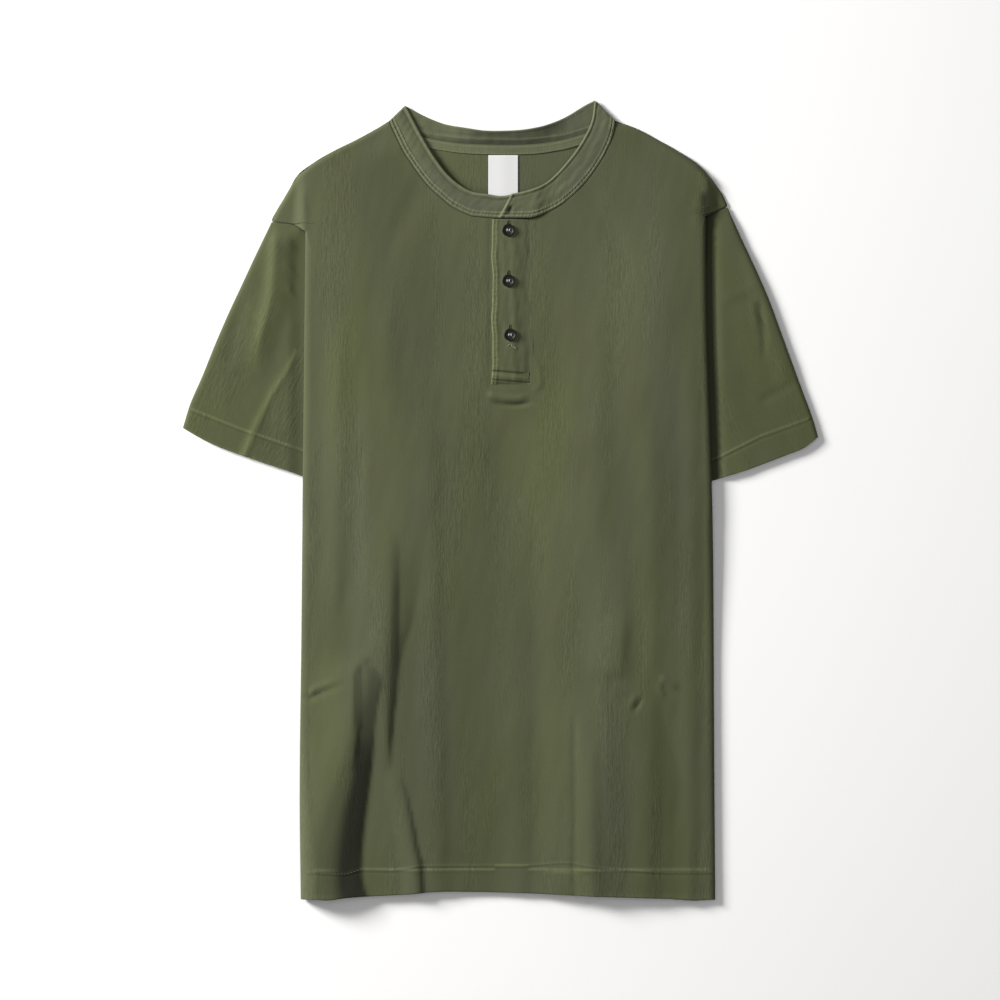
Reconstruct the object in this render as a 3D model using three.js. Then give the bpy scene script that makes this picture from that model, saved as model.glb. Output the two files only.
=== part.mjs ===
// A short sleeved henley shirt in garment dyed knit, laid flat on its back.
// Millimetres. +X is the viewer's right, +Y points to the neck, +Z points up from the surface.
// Both sides of the body are turned under, and each sleeve comes out from below its side fold.
import * as THREE from 'three';
import { mergeVertices } from 'three/addons/utils/BufferGeometryUtils.js';

// Cloth
const CLOTH = 1.2;              // wall of one layer of knit
const GAP = 0.3;                // clear space between two pieces
const LAYER = CLOTH + GAP;      // height that one layer takes up in the stack
const AIR = 2.0;                // loft between back and front away from the edges
const AIR_REACH = 30;           // the loft fades out over this distance from the sides

// Driving sizes of the shirt as it lies
const HEM_Y = -348.5;           // lower edge of the body
const NECK_POINT_Y = 332.5;     // where the shoulder meets the neckband
const NECK_FRONT_Y = 246.8;     // lowest point of the front neckline
const UNDERARM_Y = 47.5;        // level where sleeve and side seam meet
const PLACKET_LEFT = -6.6;      // edges and foot of the opening for the placket
const PLACKET_RIGHT = 26;
const PLACKET_FOOT = 102.1;
const DRAPE_HOLD = 13;          // the body stays level this far past the edge of what is under it
const DRAPE_RUN = 20;           // and then comes down to the surface over this distance
const CUFF_HOLD = 18;           // the turned cloth stays on the sleeve this far past its cuff
const CUFF_RUN = 27;            // and then comes down over this distance
const FOLD_CLEAR = 3;           // folds start this far in from the side folds
const FOLD_FADE = 9;            // and reach their height over this distance
const HEM_WAVE_TOP = -285;      // the wave of the hem has died out at this level

// Rows of numbers with named columns become objects with those names
const table = (names, rows) =>
  rows.map((row) => Object.fromEntries(names.map((name, i) => [name, row[i]])));

// Outer edge of the body, from the neck point down the shoulder and round the armhole seam to the fold
const LEFT_SHOULDER = table(['y', 'x'], [
  [332.5, -98.2], [326.5, -107.8], [315.9, -127.2], [305.4, -148.3], [294.8, -165.9],
  [284.2, -179.1], [273.7, -185.2], [263.1, -191.4], [252.6, -197.6], [244.5, -201.1],
  [243.0, -196.7], [242.0, -184.0], [238.5, -176.5], [235.0, -171.4],
]);
const RIGHT_SHOULDER = table(['y', 'x'], [
  [332.5, 101.4], [326.5, 118.4], [315.9, 138.6], [305.4, 157.1], [294.8, 172.9],
  [284.2, 183.5], [273.7, 191.4], [263.1, 197.6], [257.2, 199.3], [254.3, 193.2],
  [249.0, 180.4],
]);

// Side folds, from the top of the pleat at the sleeve down to the hem
const LEFT_FOLD = table(['y', 'x'], [
  [235, -171.4], [16, -173.8], [-120, -175.1], [-264, -176.6], [-348.5, -175.6],
]);
const RIGHT_FOLD = table(['y', 'x'], [
  [249, 180.2], [175, 180.8], [16, 185.6], [-54, 187.0], [-240, 188.0], [-348.5, 188.8],
]);

// Inner edge of the cloth that is turned under: the armhole, then the side seam
const LEFT_TURN = table(['y', 'x'], [
  [235, -166.0], [205, -162], [170, -155], [135, -146], [102, -135], [75, -121],
  [47.5, -103.4], [-348.5, -103.4],
]);
const RIGHT_TURN = table(['y', 'x'], [
  [249, 174.8], [228, 173], [205, 170], [170, 163], [135, 154], [102, 144], [75, 131],
  [47.5, 115.7], [-348.5, 115.7],
]);

// Seam between the front and the neckband, as the distance out to each side at a level
const LEFT_NECK = table(['y', 'x'], [
  [246.8, -6.6], [248.2, -24.2], [251, -31.5], [257.2, -43.5], [263.1, -50.5], [273.7, -62.3],
  [284.2, -71], [294.8, -78.5], [305.4, -85.4], [315.9, -90.6], [326.5, -95.6], [332.5, -98.2],
]);
const RIGHT_NECK = table(['y', 'x'], [
  [246.8, 26], [248.2, 32], [251, 39.5], [257.2, 51.5], [263.1, 59.6], [273.7, 70.9],
  [284.2, 79.9], [294.8, 87.3], [305.4, 93.2], [315.9, 97.9], [326.5, 100.6], [332.5, 101.4],
]);

// Neckline of the back, and the upper edge of the neckband above it
const BACK_NECK = table(['x', 'y'], [
  [-98.2, 332.5], [-78, 322.5], [-57.6, 316.8], [-26.8, 312.8], [3.1, 312.0],
  [25.1, 312.4], [52.4, 315.9], [69.1, 320.3], [87.6, 326.5], [101.4, 332.5],
]);
const BACK_BAND_TOP = table(['x', 'y'], [
  [-84.2, 346.0], [-67.3, 337.0], [-49.7, 330.0], [-32.1, 326.5], [-14.5, 323.8],
  [3.1, 323.6], [20.7, 324.7], [38.3, 328.2], [55.9, 335.3], [73.5, 345.8], [82.8, 350.6],
]);

// Free inner edge of the front neckband
const LEFT_BAND_EDGE = table(['x', 'y'], [
  [-83.4, 346.0], [-77.5, 335.0], [-70.8, 322.1], [-57.6, 300.1], [-43.6, 282.5], [-26.8, 271.0],
  [-11.0, 268.0], [3.1, 266.6], [26, 271.5],
]);
const RIGHT_BAND_EDGE = table(['x', 'y'], [
  [82.8, 350.6], [79.6, 330.9], [69.1, 310.6], [54.1, 291.3], [40.0, 278.1],
  [25.1, 271.6], [9.2, 268.0],
]);

// Sleeves: outer edge from the shoulder tip to the cuff, and the cuff from there to the underarm
const LEFT_SLEEVE_EDGE = table(['y', 'x'], [
  [243.9, -201.3], [236.7, -204.6], [214.7, -215.2], [188.3, -227.5], [161.9, -239.8],
  [135.5, -251.2], [109.1, -261.8], [82.7, -273.2], [62.5, -279.4],
]);
const RIGHT_SLEEVE_EDGE = table(['y', 'x'], [
  [256.5, 199.6], [247.3, 203.7], [227.9, 212.5], [201.5, 224.8], [175.1, 236.3],
  [148.7, 246.0], [122.3, 255.6], [95.9, 265.3], [69.5, 275.0], [54.6, 279.4],
]);
const LEFT_CUFF = table(['x', 'y'], [
  [-279.4, 62.5], [-260.9, 51.9], [-243.3, 44.0], [-208.1, 31.7], [-174.7, 20.2], [-116.6, -3.1],
]);
const RIGHT_CUFF = table(['x', 'y'], [
  [279.4, 54.6], [267.1, 44.9], [249.5, 37.8], [214.3, 24.6], [188.8, 16.7], [120.1, -7.9],
]);

// Lower edge of the hem across the front
const HEM_LINE = table(['x', 'y'], [
  [-175.6, -346.7], [-171, -350.2], [-152, -352.0], [-135, -350.2], [-85, -347.6],
  [-50, -345.0], [3, -345.8], [73, -348.5], [115, -350.2], [150, -351.5], [172, -352.9],
  [185, -352.0], [188.8, -348.5],
]);

// Largest folds: a crest along the points, its height, and how far its left and right flanks reach
const BODY_FOLDS = table(['name', 'points', 'rise', 'left', 'right'], [
  ['low left fold', [[-119, -138], [-124, -190], [-132, -230], [-141, -300], [-147, -356]], 5, 30, 17],
  ['left crease', [[-92, -54], [-94, -150], [-93, -235]], -1.2, 12, 12],
  ['low left pleat', [[-88, -252], [-78, -285], [-70, -320], [-70, -356]], 2.2, 16, 12],
  ['right step', [[92, -150], [97, -250], [98, -345]], 2.2, 16, 14],
  ['low right ridge', [[75, -200], [75, -356]], 1.6, 14, 14],
  ['right roll', [[143, 190], [150, 20], [146, -150], [150, -356]], 1.2, 22, 22],
]);
const SLEEVE_FOLDS = table(['name', 'points', 'rise', 'left', 'right'], [
  ['left broad ridge', [[-202, 235], [-203, 197], [-206, 178], [-217, 132], [-219, 100]], 2.4, 16, 16],
  ['left crisp ridge', [[-181, 128], [-187, 115], [-202, 91.5], [-217, 60], [-226, 40]], 2.6, 14, 12],
  ['right cross ridge', [[191, 173], [229, 189]], 1.2, 12, 12],
  ['right cuff ridge', [[216, 82], [262, 103]], 1.0, 12, 12],
]);

// Levels across the body where a section is taken
const LOW_ROWS = [HEM_Y, -326, -285, -240, -195, -150, -105, -70, -38, -10, 15, UNDERARM_Y, 75,
  PLACKET_FOOT, 135, 170, 205, 228, 235, 238.5, 242, 244.5, NECK_FRONT_Y];
const NECK_ROWS = [248.2, 251, 254.3, 257.2, 263.1, 273.7, 284.2, 294.8, 305.4, 315.9, 326.5,
  NECK_POINT_Y];

// Points across each half of the body, as distances from the side fold at the hem
const HALF_COLUMNS = { left: [0, 12, 25, 34, 44, 56, 67, 83, 100, 125, 147, 168.4],
  right: [0, 13, 30, 47, 60, 75, 88, 98, 110, 124, 142, 161] };
const PLACKET_COLUMNS = 2;
const ARC_ANGLES = [-45, 0, 45];  // points round a side fold, in degrees

// Smooth step from 0 to 1
function ease(t) {
  const s = Math.min(1, Math.max(0, t));
  return s * s * (3 - 2 * s);
}

const mix = (a, b, t) => a + (b - a) * t;

// A function that follows a table from one column to another, straight from row to row
function along(rows, from, to) {
  const sorted = [...rows].sort((a, b) => a[from] - b[from]);
  return (value) => {
    const last = sorted.length - 1;
    if (value <= sorted[0][from]) return sorted[0][to];
    if (value >= sorted[last][from]) return sorted[last][to];
    const i = sorted.findIndex((row) => row[from] > value);
    const share = (value - sorted[i - 1][from]) / (sorted[i][from] - sorted[i - 1][from]);
    return mix(sorted[i - 1][to], sorted[i][to], share);
  };
}

// A function from 0..1 to the point that far along a polyline
function pathOf(points) {
  const lengths = [0];
  for (let i = 1; i < points.length; i++) {
    const step = Math.hypot(points[i][0] - points[i - 1][0], points[i][1] - points[i - 1][1]);
    lengths.push(lengths[i - 1] + step);
  }
  const total = lengths[lengths.length - 1];
  return (share) => {
    const at = Math.min(total, Math.max(0, share * total));
    const i = Math.max(1, lengths.findIndex((length) => length >= at));
    const part = (at - lengths[i - 1]) / (lengths[i] - lengths[i - 1]);
    return [mix(points[i - 1][0], points[i][0], part), mix(points[i - 1][1], points[i][1], part)];
  };
}

// How far along a line each of its points lies, from 0 to 1
function sharesOf(points) {
  const lengths = [0];
  for (let i = 1; i < points.length; i++) {
    const step = Math.hypot(points[i][0] - points[i - 1][0], points[i][1] - points[i - 1][1]);
    lengths.push(lengths[i - 1] + step);
  }
  return lengths.map((length) => length / lengths[lengths.length - 1]);
}

const pairs = (rows) => rows.map((row) => [row.x, row.y]);

// Height that the folds of a table add at a place
function foldHeight(folds, x, y) {
  let height = 0;
  for (const fold of folds) {
    let nearest = Infinity;
    let side = 0;
    for (let i = 1; i < fold.points.length; i++) {
      const [ax, ay] = fold.points[i - 1];
      const [bx, by] = fold.points[i];
      const length = Math.hypot(bx - ax, by - ay);
      const t = ((x - ax) * (bx - ax) + (y - ay) * (by - ay)) / (length * length);
      const s = Math.min(1, Math.max(0, t));
      const far = Math.hypot(x - mix(ax, bx, s), y - mix(ay, by, s));
      if (far < nearest) {
        nearest = far;
        side = (bx - ax) * (y - ay) - (by - ay) * (x - ax);
      }
    }
    const downward = fold.points[0][1] > fold.points[1][1];
    const reach = (side > 0) === downward ? fold.right : fold.left;
    height += fold.rise * ease(1 - nearest / reach);
  }
  return height;
}

// The two sides of the body, with what each one follows
function makeSide(sign, shoulder, fold, turn, neck, cuff, sleeveEdge, columns) {
  const top = fold[0].y;
  return {
    sign,
    top,
    shoulderAt: along(shoulder, 'y', 'x'),
    foldAt: along(fold, 'y', 'x'),
    turnAt: along(turn, 'y', 'x'),
    neckAt: along(neck, 'y', 'x'),
    cuffAt: along(cuff, 'x', 'y'),
    cuffPath: pathOf(pairs(cuff)),
    sleeveEdgeAt: along(sleeveEdge, 'y', 'x'),
    sleeveTop: sleeveEdge[0].y,
    sleeveFoot: sleeveEdge[sleeveEdge.length - 1].y,
    columns,
  };
}
const LEFT = makeSide(-1, LEFT_SHOULDER, LEFT_FOLD, LEFT_TURN, LEFT_NECK, LEFT_CUFF,
  LEFT_SLEEVE_EDGE, HALF_COLUMNS.left);
const RIGHT = makeSide(1, RIGHT_SHOULDER, RIGHT_FOLD, RIGHT_TURN, RIGHT_NECK, RIGHT_CUFF,
  RIGHT_SLEEVE_EDGE, HALF_COLUMNS.right);
const backNeckAt = along(BACK_NECK, 'x', 'y');
const hemAt = along(HEM_LINE, 'x', 'y');

// Height of the cloth turned under: it lies on the sleeve, and below the cuff on the surface
function turnHeight(side, x, y) {
  const belowCuff = side.cuffAt(x) - y;
  return 2 * LAYER * (1 - ease((belowCuff - CUFF_HOLD) / CUFF_RUN));
}

// Height of the underside of the back, which lies on what is turned under at both sides
function backHeight(x, y) {
  let height = 0;
  for (const side of [LEFT, RIGHT]) {
    const level = Math.min(y, side.top);
    const inward = (side.turnAt(level) - x) * side.sign - DRAPE_HOLD;
    const outward = y > side.top ? (x - side.foldAt(side.top)) * side.sign : 0;
    const above = Math.max(0, y - side.top);
    const away = Math.hypot(Math.max(0, inward, outward), above);
    const full = turnHeight(side, x, y) + 2 * LAYER;
    height += full * ease(1 - away / DRAPE_RUN);
  }
  return height;
}

// Loft of the front over the back, with the folds
function frontLoft(x, y) {
  const left = x - (y > LEFT.top ? LEFT.shoulderAt(y) : LEFT.foldAt(y));
  const right = (y > RIGHT.top ? RIGHT.shoulderAt(y) : RIGHT.foldAt(y)) - x;
  const inside = ease(Math.min(left, right) / AIR_REACH);
  const atSides = ease((Math.min(left, right) - FOLD_CLEAR) / FOLD_FADE);
  return Math.max(0, AIR * inside + foldHeight(BODY_FOLDS, x, y) * atSides);
}

const frontTop = (x, y) => backHeight(x, y) + LAYER + CLOTH + frontLoft(x, y);

// The hem runs in a slight wave, which dies out above it
function hemWave(x, y) {
  const share = ease((HEM_WAVE_TOP - y) / (HEM_WAVE_TOP - HEM_Y));
  return y + (hemAt(x) - HEM_Y) * share;
}

// A wall of cloth: each point has a place on the outer face and one on the inner face
class Wall {
  constructor() {
    this.outer = [];
    this.inner = [];
    this.faces = [];
    this.numbers = new Map();
  }

  point(outer, inner) {
    const key = outer.map((value) => value.toFixed(3)).join(' ');
    if (!this.numbers.has(key)) {
      this.numbers.set(key, this.outer.length);
      this.outer.push(outer);
      this.inner.push(inner);
    }
    return this.numbers.get(key);
  }

  triangle(a, b, c) {
    if (a !== b && b !== c && c !== a) this.faces.push([a, b, c]);
  }

  // Corners run counterclockwise seen from outside
  quad(a, b, c, d) {
    this.triangle(a, b, c);
    this.triangle(a, c, d);
  }

  geometry() {
    const count = this.outer.length;
    const index = [];
    const edges = new Set();
    for (const [a, b, c] of this.faces) {
      index.push(a, b, c, count + a, count + c, count + b);
      edges.add(`${a} ${b}`).add(`${b} ${c}`).add(`${c} ${a}`);
    }
    for (const edge of edges) {
      const [a, b] = edge.split(' ').map(Number);
      if (edges.has(`${b} ${a}`)) continue;
      index.push(b, a, count + a, b, count + a, count + b);
    }
    return solid([...this.outer, ...this.inner], index);
  }
}

// A geometry from points and triangles
function solid(points, index) {
  const geometry = new THREE.BufferGeometry();
  geometry.setAttribute('position', new THREE.Float32BufferAttribute(points.flat(), 3));
  geometry.setIndex(index);
  const closed = mergeVertices(geometry, 1e-4);
  closed.computeVertexNormals();
  return closed;
}

// One panel of the body. The front is outermost, and the back lies inside it.
class BodyPanel {
  constructor(inset, topAt) {
    this.inset = inset;
    this.topAt = topAt;
    this.wall = new Wall();
  }

  // Outer edge of the level part of a section, and the radius of the fold beyond it
  edgeOf(side, y) {
    if (y > side.top) return { x: side.shoulderAt(y), folded: false };
    const fold = side.foldAt(y) - side.sign * this.inset;
    const low = turnHeight(side, fold, y) + this.inset;
    const near = fold - side.sign * FOLD_CLEAR;
    const radius = (this.topAt(near, y) - low) / 2;
    return { x: fold - side.sign * radius, folded: true, low, radius };
  }

  level(x, y) {
    const z = this.topAt(x, y);
    const wy = hemWave(x, y);
    return this.wall.point([x, wy, z], [x, wy, z - CLOTH]);
  }

  // Points of one half of a section, from the turned edge round the fold to the middle
  half(side, y, middle) {
    const edge = this.edgeOf(side, y);
    const under = [];
    if (edge.folded) {
      const end = side.turnAt(y);
      for (const share of [0, 0.5, 1]) {
        const x = mix(end, edge.x, share);
        const wy = hemWave(x, y);
        const z = turnHeight(side, x, y) + this.inset;
        under.push(this.wall.point([x, wy, z], [x, wy, z + CLOTH]));
      }
      for (const angle of ARC_ANGLES) {
        const turn = THREE.MathUtils.degToRad(angle);
        const place = (radius) => {
          const x = edge.x + side.sign * radius * Math.cos(turn);
          return [x, hemWave(edge.x, y), edge.low + edge.radius + radius * Math.sin(turn)];
        };
        under.push(this.wall.point(place(edge.radius), place(edge.radius - CLOTH)));
      }
    }
    const span = side.columns[side.columns.length - 1];
    const main = side.columns.map((distance) => this.level(mix(edge.x, middle, distance / span), y));
    return { under, main };
  }

  // All points of a section, left to right
  section(y) {
    const open = y > NECK_FRONT_Y;
    const left = this.half(LEFT, y, open ? LEFT.neckAt(y) : PLACKET_LEFT);
    const right = this.half(RIGHT, y, open ? RIGHT.neckAt(y) : PLACKET_RIGHT);
    const placket = [left.main[left.main.length - 1]];
    for (let i = 1; i < PLACKET_COLUMNS && !open; i++) {
      placket.push(this.level(mix(PLACKET_LEFT, PLACKET_RIGHT, i / PLACKET_COLUMNS), y));
    }
    placket.push(right.main[right.main.length - 1]);
    return { y, left, right, placket };
  }

  // Joins the same stretch of two sections, the lower one first, both running left to right
  join(low, high) {
    for (let i = 1; i < low.length; i++) {
      this.wall.quad(low[i - 1], low[i], high[i], high[i - 1]);
    }
  }

  joinSections(low, high, hasPlacketGap) {
    this.join(low.left.main, high.left.main);
    this.join([...low.right.main].reverse(), [...high.right.main].reverse());
    if (high.left.under.length) {
      this.join([...low.left.under, low.left.main[0]], [...high.left.under, high.left.main[0]]);
    }
    if (high.right.under.length) {
      this.join([low.right.main[0], ...[...low.right.under].reverse()],
        [high.right.main[0], ...[...high.right.under].reverse()]);
    }
    if (!hasPlacketGap && low.placket.length === high.placket.length) {
      this.join(low.placket, high.placket);
    }
  }
}

// Front: open at the neck, with a notch for the placket
function frontBody() {
  const panel = new BodyPanel(0, frontTop);
  const sections = [...LOW_ROWS, ...NECK_ROWS].map((y) => panel.section(y));
  for (let i = 1; i < sections.length; i++) {
    panel.joinSections(sections[i - 1], sections[i], sections[i - 1].y >= PLACKET_FOOT);
  }
  return panel.wall.geometry();
}

// Seam points of the front neckline from the left neck point down and up to the right one
function neckSeam() {
  const rising = [...NECK_ROWS];
  const left = [...rising].reverse().map((y) => [LEFT.neckAt(y), y]);
  const right = rising.map((y) => [RIGHT.neckAt(y), y]);
  const foot = [];
  for (let i = 0; i <= PLACKET_COLUMNS; i++) {
    foot.push([mix(PLACKET_LEFT, PLACKET_RIGHT, i / PLACKET_COLUMNS), NECK_FRONT_Y]);
  }
  return [...left, ...foot, ...right];
}

// Back: the same sections without the notch, filled up to its own higher neckline
function backBody() {
  const panel = new BodyPanel(LAYER, (x, y) => backHeight(x, y) + CLOTH);
  const sections = [...LOW_ROWS, ...NECK_ROWS].map((y) => panel.section(y));
  for (let i = 1; i < sections.length; i++) {
    const open = sections[i - 1].y >= NECK_FRONT_Y;
    panel.joinSections(sections[i - 1], sections[i], open);
  }
  const steps = 4;
  const seam = neckSeam();
  const count = seam.length - 1;
  const columns = seam.map(([x, y], i) => {
    const share = (ease(i / count) + i / count) / 2;
    const topX = mix(seam[0][0], seam[count][0], share);
    const topY = backNeckAt(topX);
    const column = [];
    for (let k = 0; k <= steps; k++) {
      column.push(panel.level(mix(x, topX, k / steps), mix(y, topY, k / steps)));
    }
    return column;
  });
  for (let i = 1; i < columns.length; i++) {
    for (let k = 1; k <= steps; k++) {
      const before = columns[i - 1];
      const here = columns[i];
      panel.wall.quad(before[k - 1], here[k - 1], here[k], before[k]);
    }
  }
  return panel.wall.geometry();
}

// A closed tube of cloth from rings of paired points, open at both ends of the tube
function tubeWall(rings) {
  const wall = new Wall();
  const numbers = rings.map((ring) => ring.map(([outer, inner]) => wall.point(outer, inner)));
  for (let r = 1; r < numbers.length; r++) {
    const count = numbers[r].length;
    for (let i = 0; i < count; i++) {
      const next = (i + 1) % count;
      wall.quad(numbers[r][i], numbers[r][next], numbers[r - 1][next], numbers[r - 1][i]);
    }
  }
  return wall.geometry();
}

const SLEEVE_ROWS = 9;          // rings from armhole to cuff
const SEAM_CLEAR = 0.45;        // clear space beside a seam that is seen

// Points of the armhole edge of a sleeve: the seam that shows, then the part under the body
function armholeOf(side) {
  const visible = [...LOW_ROWS, ...NECK_ROWS]
    .filter((y) => y >= side.top && y <= side.sleeveTop + 1)
    .reverse()
    .map((y) => [side.shoulderAt(y) + side.sign * SEAM_CLEAR / 2, y - SEAM_CLEAR]);
  const hidden = LOW_ROWS
    .filter((y) => y < side.top && y >= UNDERARM_Y)
    .reverse()
    .map((y) => [side.turnAt(y), y]);
  return [...visible, ...hidden];
}

// Sleeve: a flat tube that starts under the armhole of the body and ends at the cuff
function sleeve(side) {
  const armhole = armholeOf(side);
  const shares = sharesOf(armhole);
  const last = armhole.length - 1;
  const cuff = shares.map((share) => side.cuffPath(share));
  const rings = [];
  for (let r = 0; r <= SLEEVE_ROWS; r++) {
    const v = r / SLEEVE_ROWS;
    const outY = mix(armhole[0][1], side.sleeveFoot, v);
    const outside = [r === 0 ? armhole[0][0] : side.sleeveEdgeAt(outY), outY];
    const inside = [0, 1].map((axis) => mix(armhole[last][axis], cuff[last][axis], v));
    const points = armhole.map((start, i) => [0, 1].map((axis) => {
      const down = mix(start[axis], cuff[i][axis], v);
      const across = mix(outside[axis], inside[axis], shares[i]);
      const armEnds = mix(armhole[0][axis], armhole[last][axis], shares[i]);
      const cuffEnds = mix(cuff[0][axis], cuff[last][axis], shares[i]);
      return down + across - mix(armEnds, cuffEnds, v);
    }));
    rings.push(sleeveRing(side, points));
  }
  return tubeWall(side.sign > 0 ? rings.reverse() : rings);
}

// Where the loft of a sleeve starts outside the side fold, and how it fades at its seam
const SLEEVE_LOFT = { start: 10, run: 18, seamRun: 20 };
const SEAM_RISE = { start: 5, run: 10, fade: 14, slope: 0.3 };

// Loft of a sleeve where it shows, and its rise to the seam at the shoulder
function sleeveLoft(side, x, y) {
  const out = (x - side.foldAt(Math.min(y, side.top))) * side.sign;
  const shows = ease((out - SLEEVE_LOFT.start) / SLEEVE_LOFT.run);
  const fromSeam = ease((side.sleeveTop - y) / SLEEVE_LOFT.seamRun);
  const seamY = Math.min(side.sleeveTop, side.top + out * SEAM_RISE.slope);
  const fade = ease((out - SEAM_RISE.start) / SEAM_RISE.run) * ease(1 - (seamY - y) / SEAM_RISE.fade);
  const loft = shows * fromSeam * (AIR + foldHeight(SLEEVE_FOLDS, x, y));
  return Math.max(0, loft + fade * backHeight(x, seamY + 2));
}

// The rounded edge of a sleeve at one end of a ring
function roundedEnd(side, end, next) {
  const away = [end[0] - next[0], end[1] - next[1]];
  const length = Math.hypot(away[0], away[1]);
  const height = LAYER + CLOTH + 0.4 * sleeveLoft(side, next[0], next[1]);
  return { at: end, out: [away[0] / length, away[1] / length], radius: height / 2 };
}

// One ring of a sleeve: across the top layer, round the underarm, back below and round the outer edge
function sleeveRing(side, points) {
  const last = points.length - 1;
  const first = roundedEnd(side, points[0], points[1]);
  const final = roundedEnd(side, points[last], points[last - 1]);
  const above = [];
  const below = [];
  points.forEach((point, i) => {
    const end = i === 0 ? first : i === last ? final : null;
    const [x, y] = end ? [0, 1].map((axis) => end.at[axis] - end.out[axis] * end.radius) : point;
    const top = end ? end.radius * 2 : LAYER + CLOTH + sleeveLoft(side, x, y);
    above.push([[x, y, top], [x, y, top - CLOTH]]);
    below.push([[x, y, 0], [x, y, CLOTH]]);
  });
  const round = (end, angles) => angles.map((angle) => {
    const turn = THREE.MathUtils.degToRad(angle);
    const at = (radius) => {
      const reach = radius * Math.cos(turn) - end.radius;
      const height = end.radius + radius * Math.sin(turn);
      return [end.at[0] + end.out[0] * reach, end.at[1] + end.out[1] * reach, height];
    };
    return [at(end.radius), at(end.radius - CLOTH)];
  });
  const up = [...ARC_ANGLES];
  const down = [...ARC_ANGLES].reverse();
  return [...above, ...round(final, down), ...below.reverse(), ...round(first, up)];
}

// A strip of cloth between two lines of as many points, as a wall of even thickness
function strip(lineA, lineB, heightAt, thickness, steps = 2) {
  const wall = new Wall();
  const columns = lineA.map((start, i) => {
    const column = [];
    for (let k = 0; k <= steps; k++) {
      const share = k / steps;
      const x = mix(start[0], lineB[i][0], share);
      const y = mix(start[1], lineB[i][1], share);
      const z = heightAt(x, y, share, i / (lineA.length - 1));
      column.push(wall.point([x, y, z + thickness], [x, y, z]));
    }
    return column;
  });
  for (let i = 1; i < columns.length; i++) {
    for (let k = 1; k <= steps; k++) {
      wall.quad(columns[i - 1][k - 1], columns[i][k - 1], columns[i][k], columns[i - 1][k]);
    }
  }
  return wall.geometry();
}

const BAND = 1.6;               // the neckband is two layers of cloth pressed together
const BAND_SEAM = 0.45;         // clear space beside the neckline

// Points of a line moved sideways to its left by a distance
function movedAside(points, distance) {
  return points.map((point, i) => {
    const before = points[Math.max(0, i - 1)];
    const after = points[Math.min(points.length - 1, i + 1)];
    const length = Math.hypot(after[0] - before[0], after[1] - before[1]);
    const nx = -(after[1] - before[1]) / length;
    const ny = (after[0] - before[0]) / length;
    return [point[0] + nx * distance, point[1] + ny * distance];
  });
}

// Height of the underside of the front neckband, which comes down to the back band at the shoulders
function bandHeight(y) {
  const fromShoulder = 340 - y;
  return LAYER + 0.5 + (AIR - 0.5) * ease(fromShoulder / 30);
}

// Seam line of the neckband, just inside the neckline of the front
function bandSeamPoints() {
  return movedAside(neckSeam(), BAND_SEAM);
}

function leftBand() {
  const seam = bandSeamPoints();
  const until = NECK_ROWS.length + PLACKET_COLUMNS + 1;
  const points = seam.slice(0, until);
  points[0] = [-97.6, 332.6];
  points[until - 1] = [PLACKET_RIGHT - 1.5, points[until - 1][1]];
  const edge = pathOf(pairs(LEFT_BAND_EDGE));
  const own = sharesOf(points);
  return strip(points, own.map((share) => edge(share * 0.985)), (x, y) => bandHeight(y), BAND);
}

// The right half laps over the left one at the placket
function rightBand() {
  const seam = bandSeamPoints();
  const from = NECK_ROWS.length;
  const points = seam.slice(from);
  points[0] = [PLACKET_LEFT + 0.6, points[0][1]];
  points[points.length - 1] = [100.9, 332.8];
  const edge = pathOf([...pairs(RIGHT_BAND_EDGE)].reverse());
  const own = sharesOf(points);
  const lap = (x) => (BAND + GAP) * (1 - ease((x - PLACKET_RIGHT - 3) / 16));
  const heightAt = (x, y) => bandHeight(y) + lap(x);
  return strip(points, own.map((share) => edge(share)), heightAt, BAND);
}

// The back of the neckband stands up behind the neck between these places
const BACK_BAND = { count: 16, height: 6, left: -55, right: 62, run: 35 };

// Back of the neckband, inside out: it rises from the seam to its free edge behind the neck
function backBand() {
  const { count, height, left, right, run } = BACK_BAND;
  const top = pathOf(pairs(BACK_BAND_TOP));
  const seam = pathOf(pairs(BACK_NECK).map(([x, y]) => [x, y + BAND_SEAM]));
  const shares = Array.from({ length: count + 1 }, (_, i) => i / count);
  const heightAt = (x, y, across) => height * across * ease((x - left) / run) * ease((right - x) / run);
  return strip(shares.map(seam), shares.map(top), heightAt, BAND, 3);
}

const TAPE = { from: -62, to: 82, width: 8.6, thickness: 0.8 };
const LABEL = { left: -10.6, right: 15.4, foot: 258, thickness: 0.6 };

// Tape over the back neck seam, on the inside of the back
function neckTape() {
  const xs = Array.from({ length: 15 }, (_, i) => mix(TAPE.from, TAPE.to, i / 14));
  const top = xs.map((x) => [x, backNeckAt(x) - 0.5]);
  const low = top.map(([x, y]) => [x, y - TAPE.width]);
  return strip(low, top, () => LAYER, TAPE.thickness, 1);
}

// Woven label, sewn in under the tape and bare
function neckLabel() {
  const top = backNeckAt(3) - 0.5 - TAPE.width - GAP - 0.2;
  const low = [[LABEL.left, LABEL.foot], [LABEL.right, LABEL.foot]];
  const high = [[LABEL.left, top], [LABEL.right, top]];
  return strip(low, high, () => LAYER, LABEL.thickness, 2);
}

const placketRows = LOW_ROWS.filter((y) => y >= PLACKET_FOOT);

// Under half of the placket, which fills the notch of the front
function placketUnder() {
  const rows = placketRows.map((y) => Math.min(Math.max(y, PLACKET_FOOT + 0.4), NECK_FRONT_Y - 0.5));
  const right = rows.map((y) => [PLACKET_RIGHT - 0.4, y]);
  const left = rows.map((y) => [PLACKET_LEFT + 0.4, y]);
  return strip(right, left, (x, y) => frontTop(x, y) - CLOTH, CLOTH, 2);
}

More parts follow.
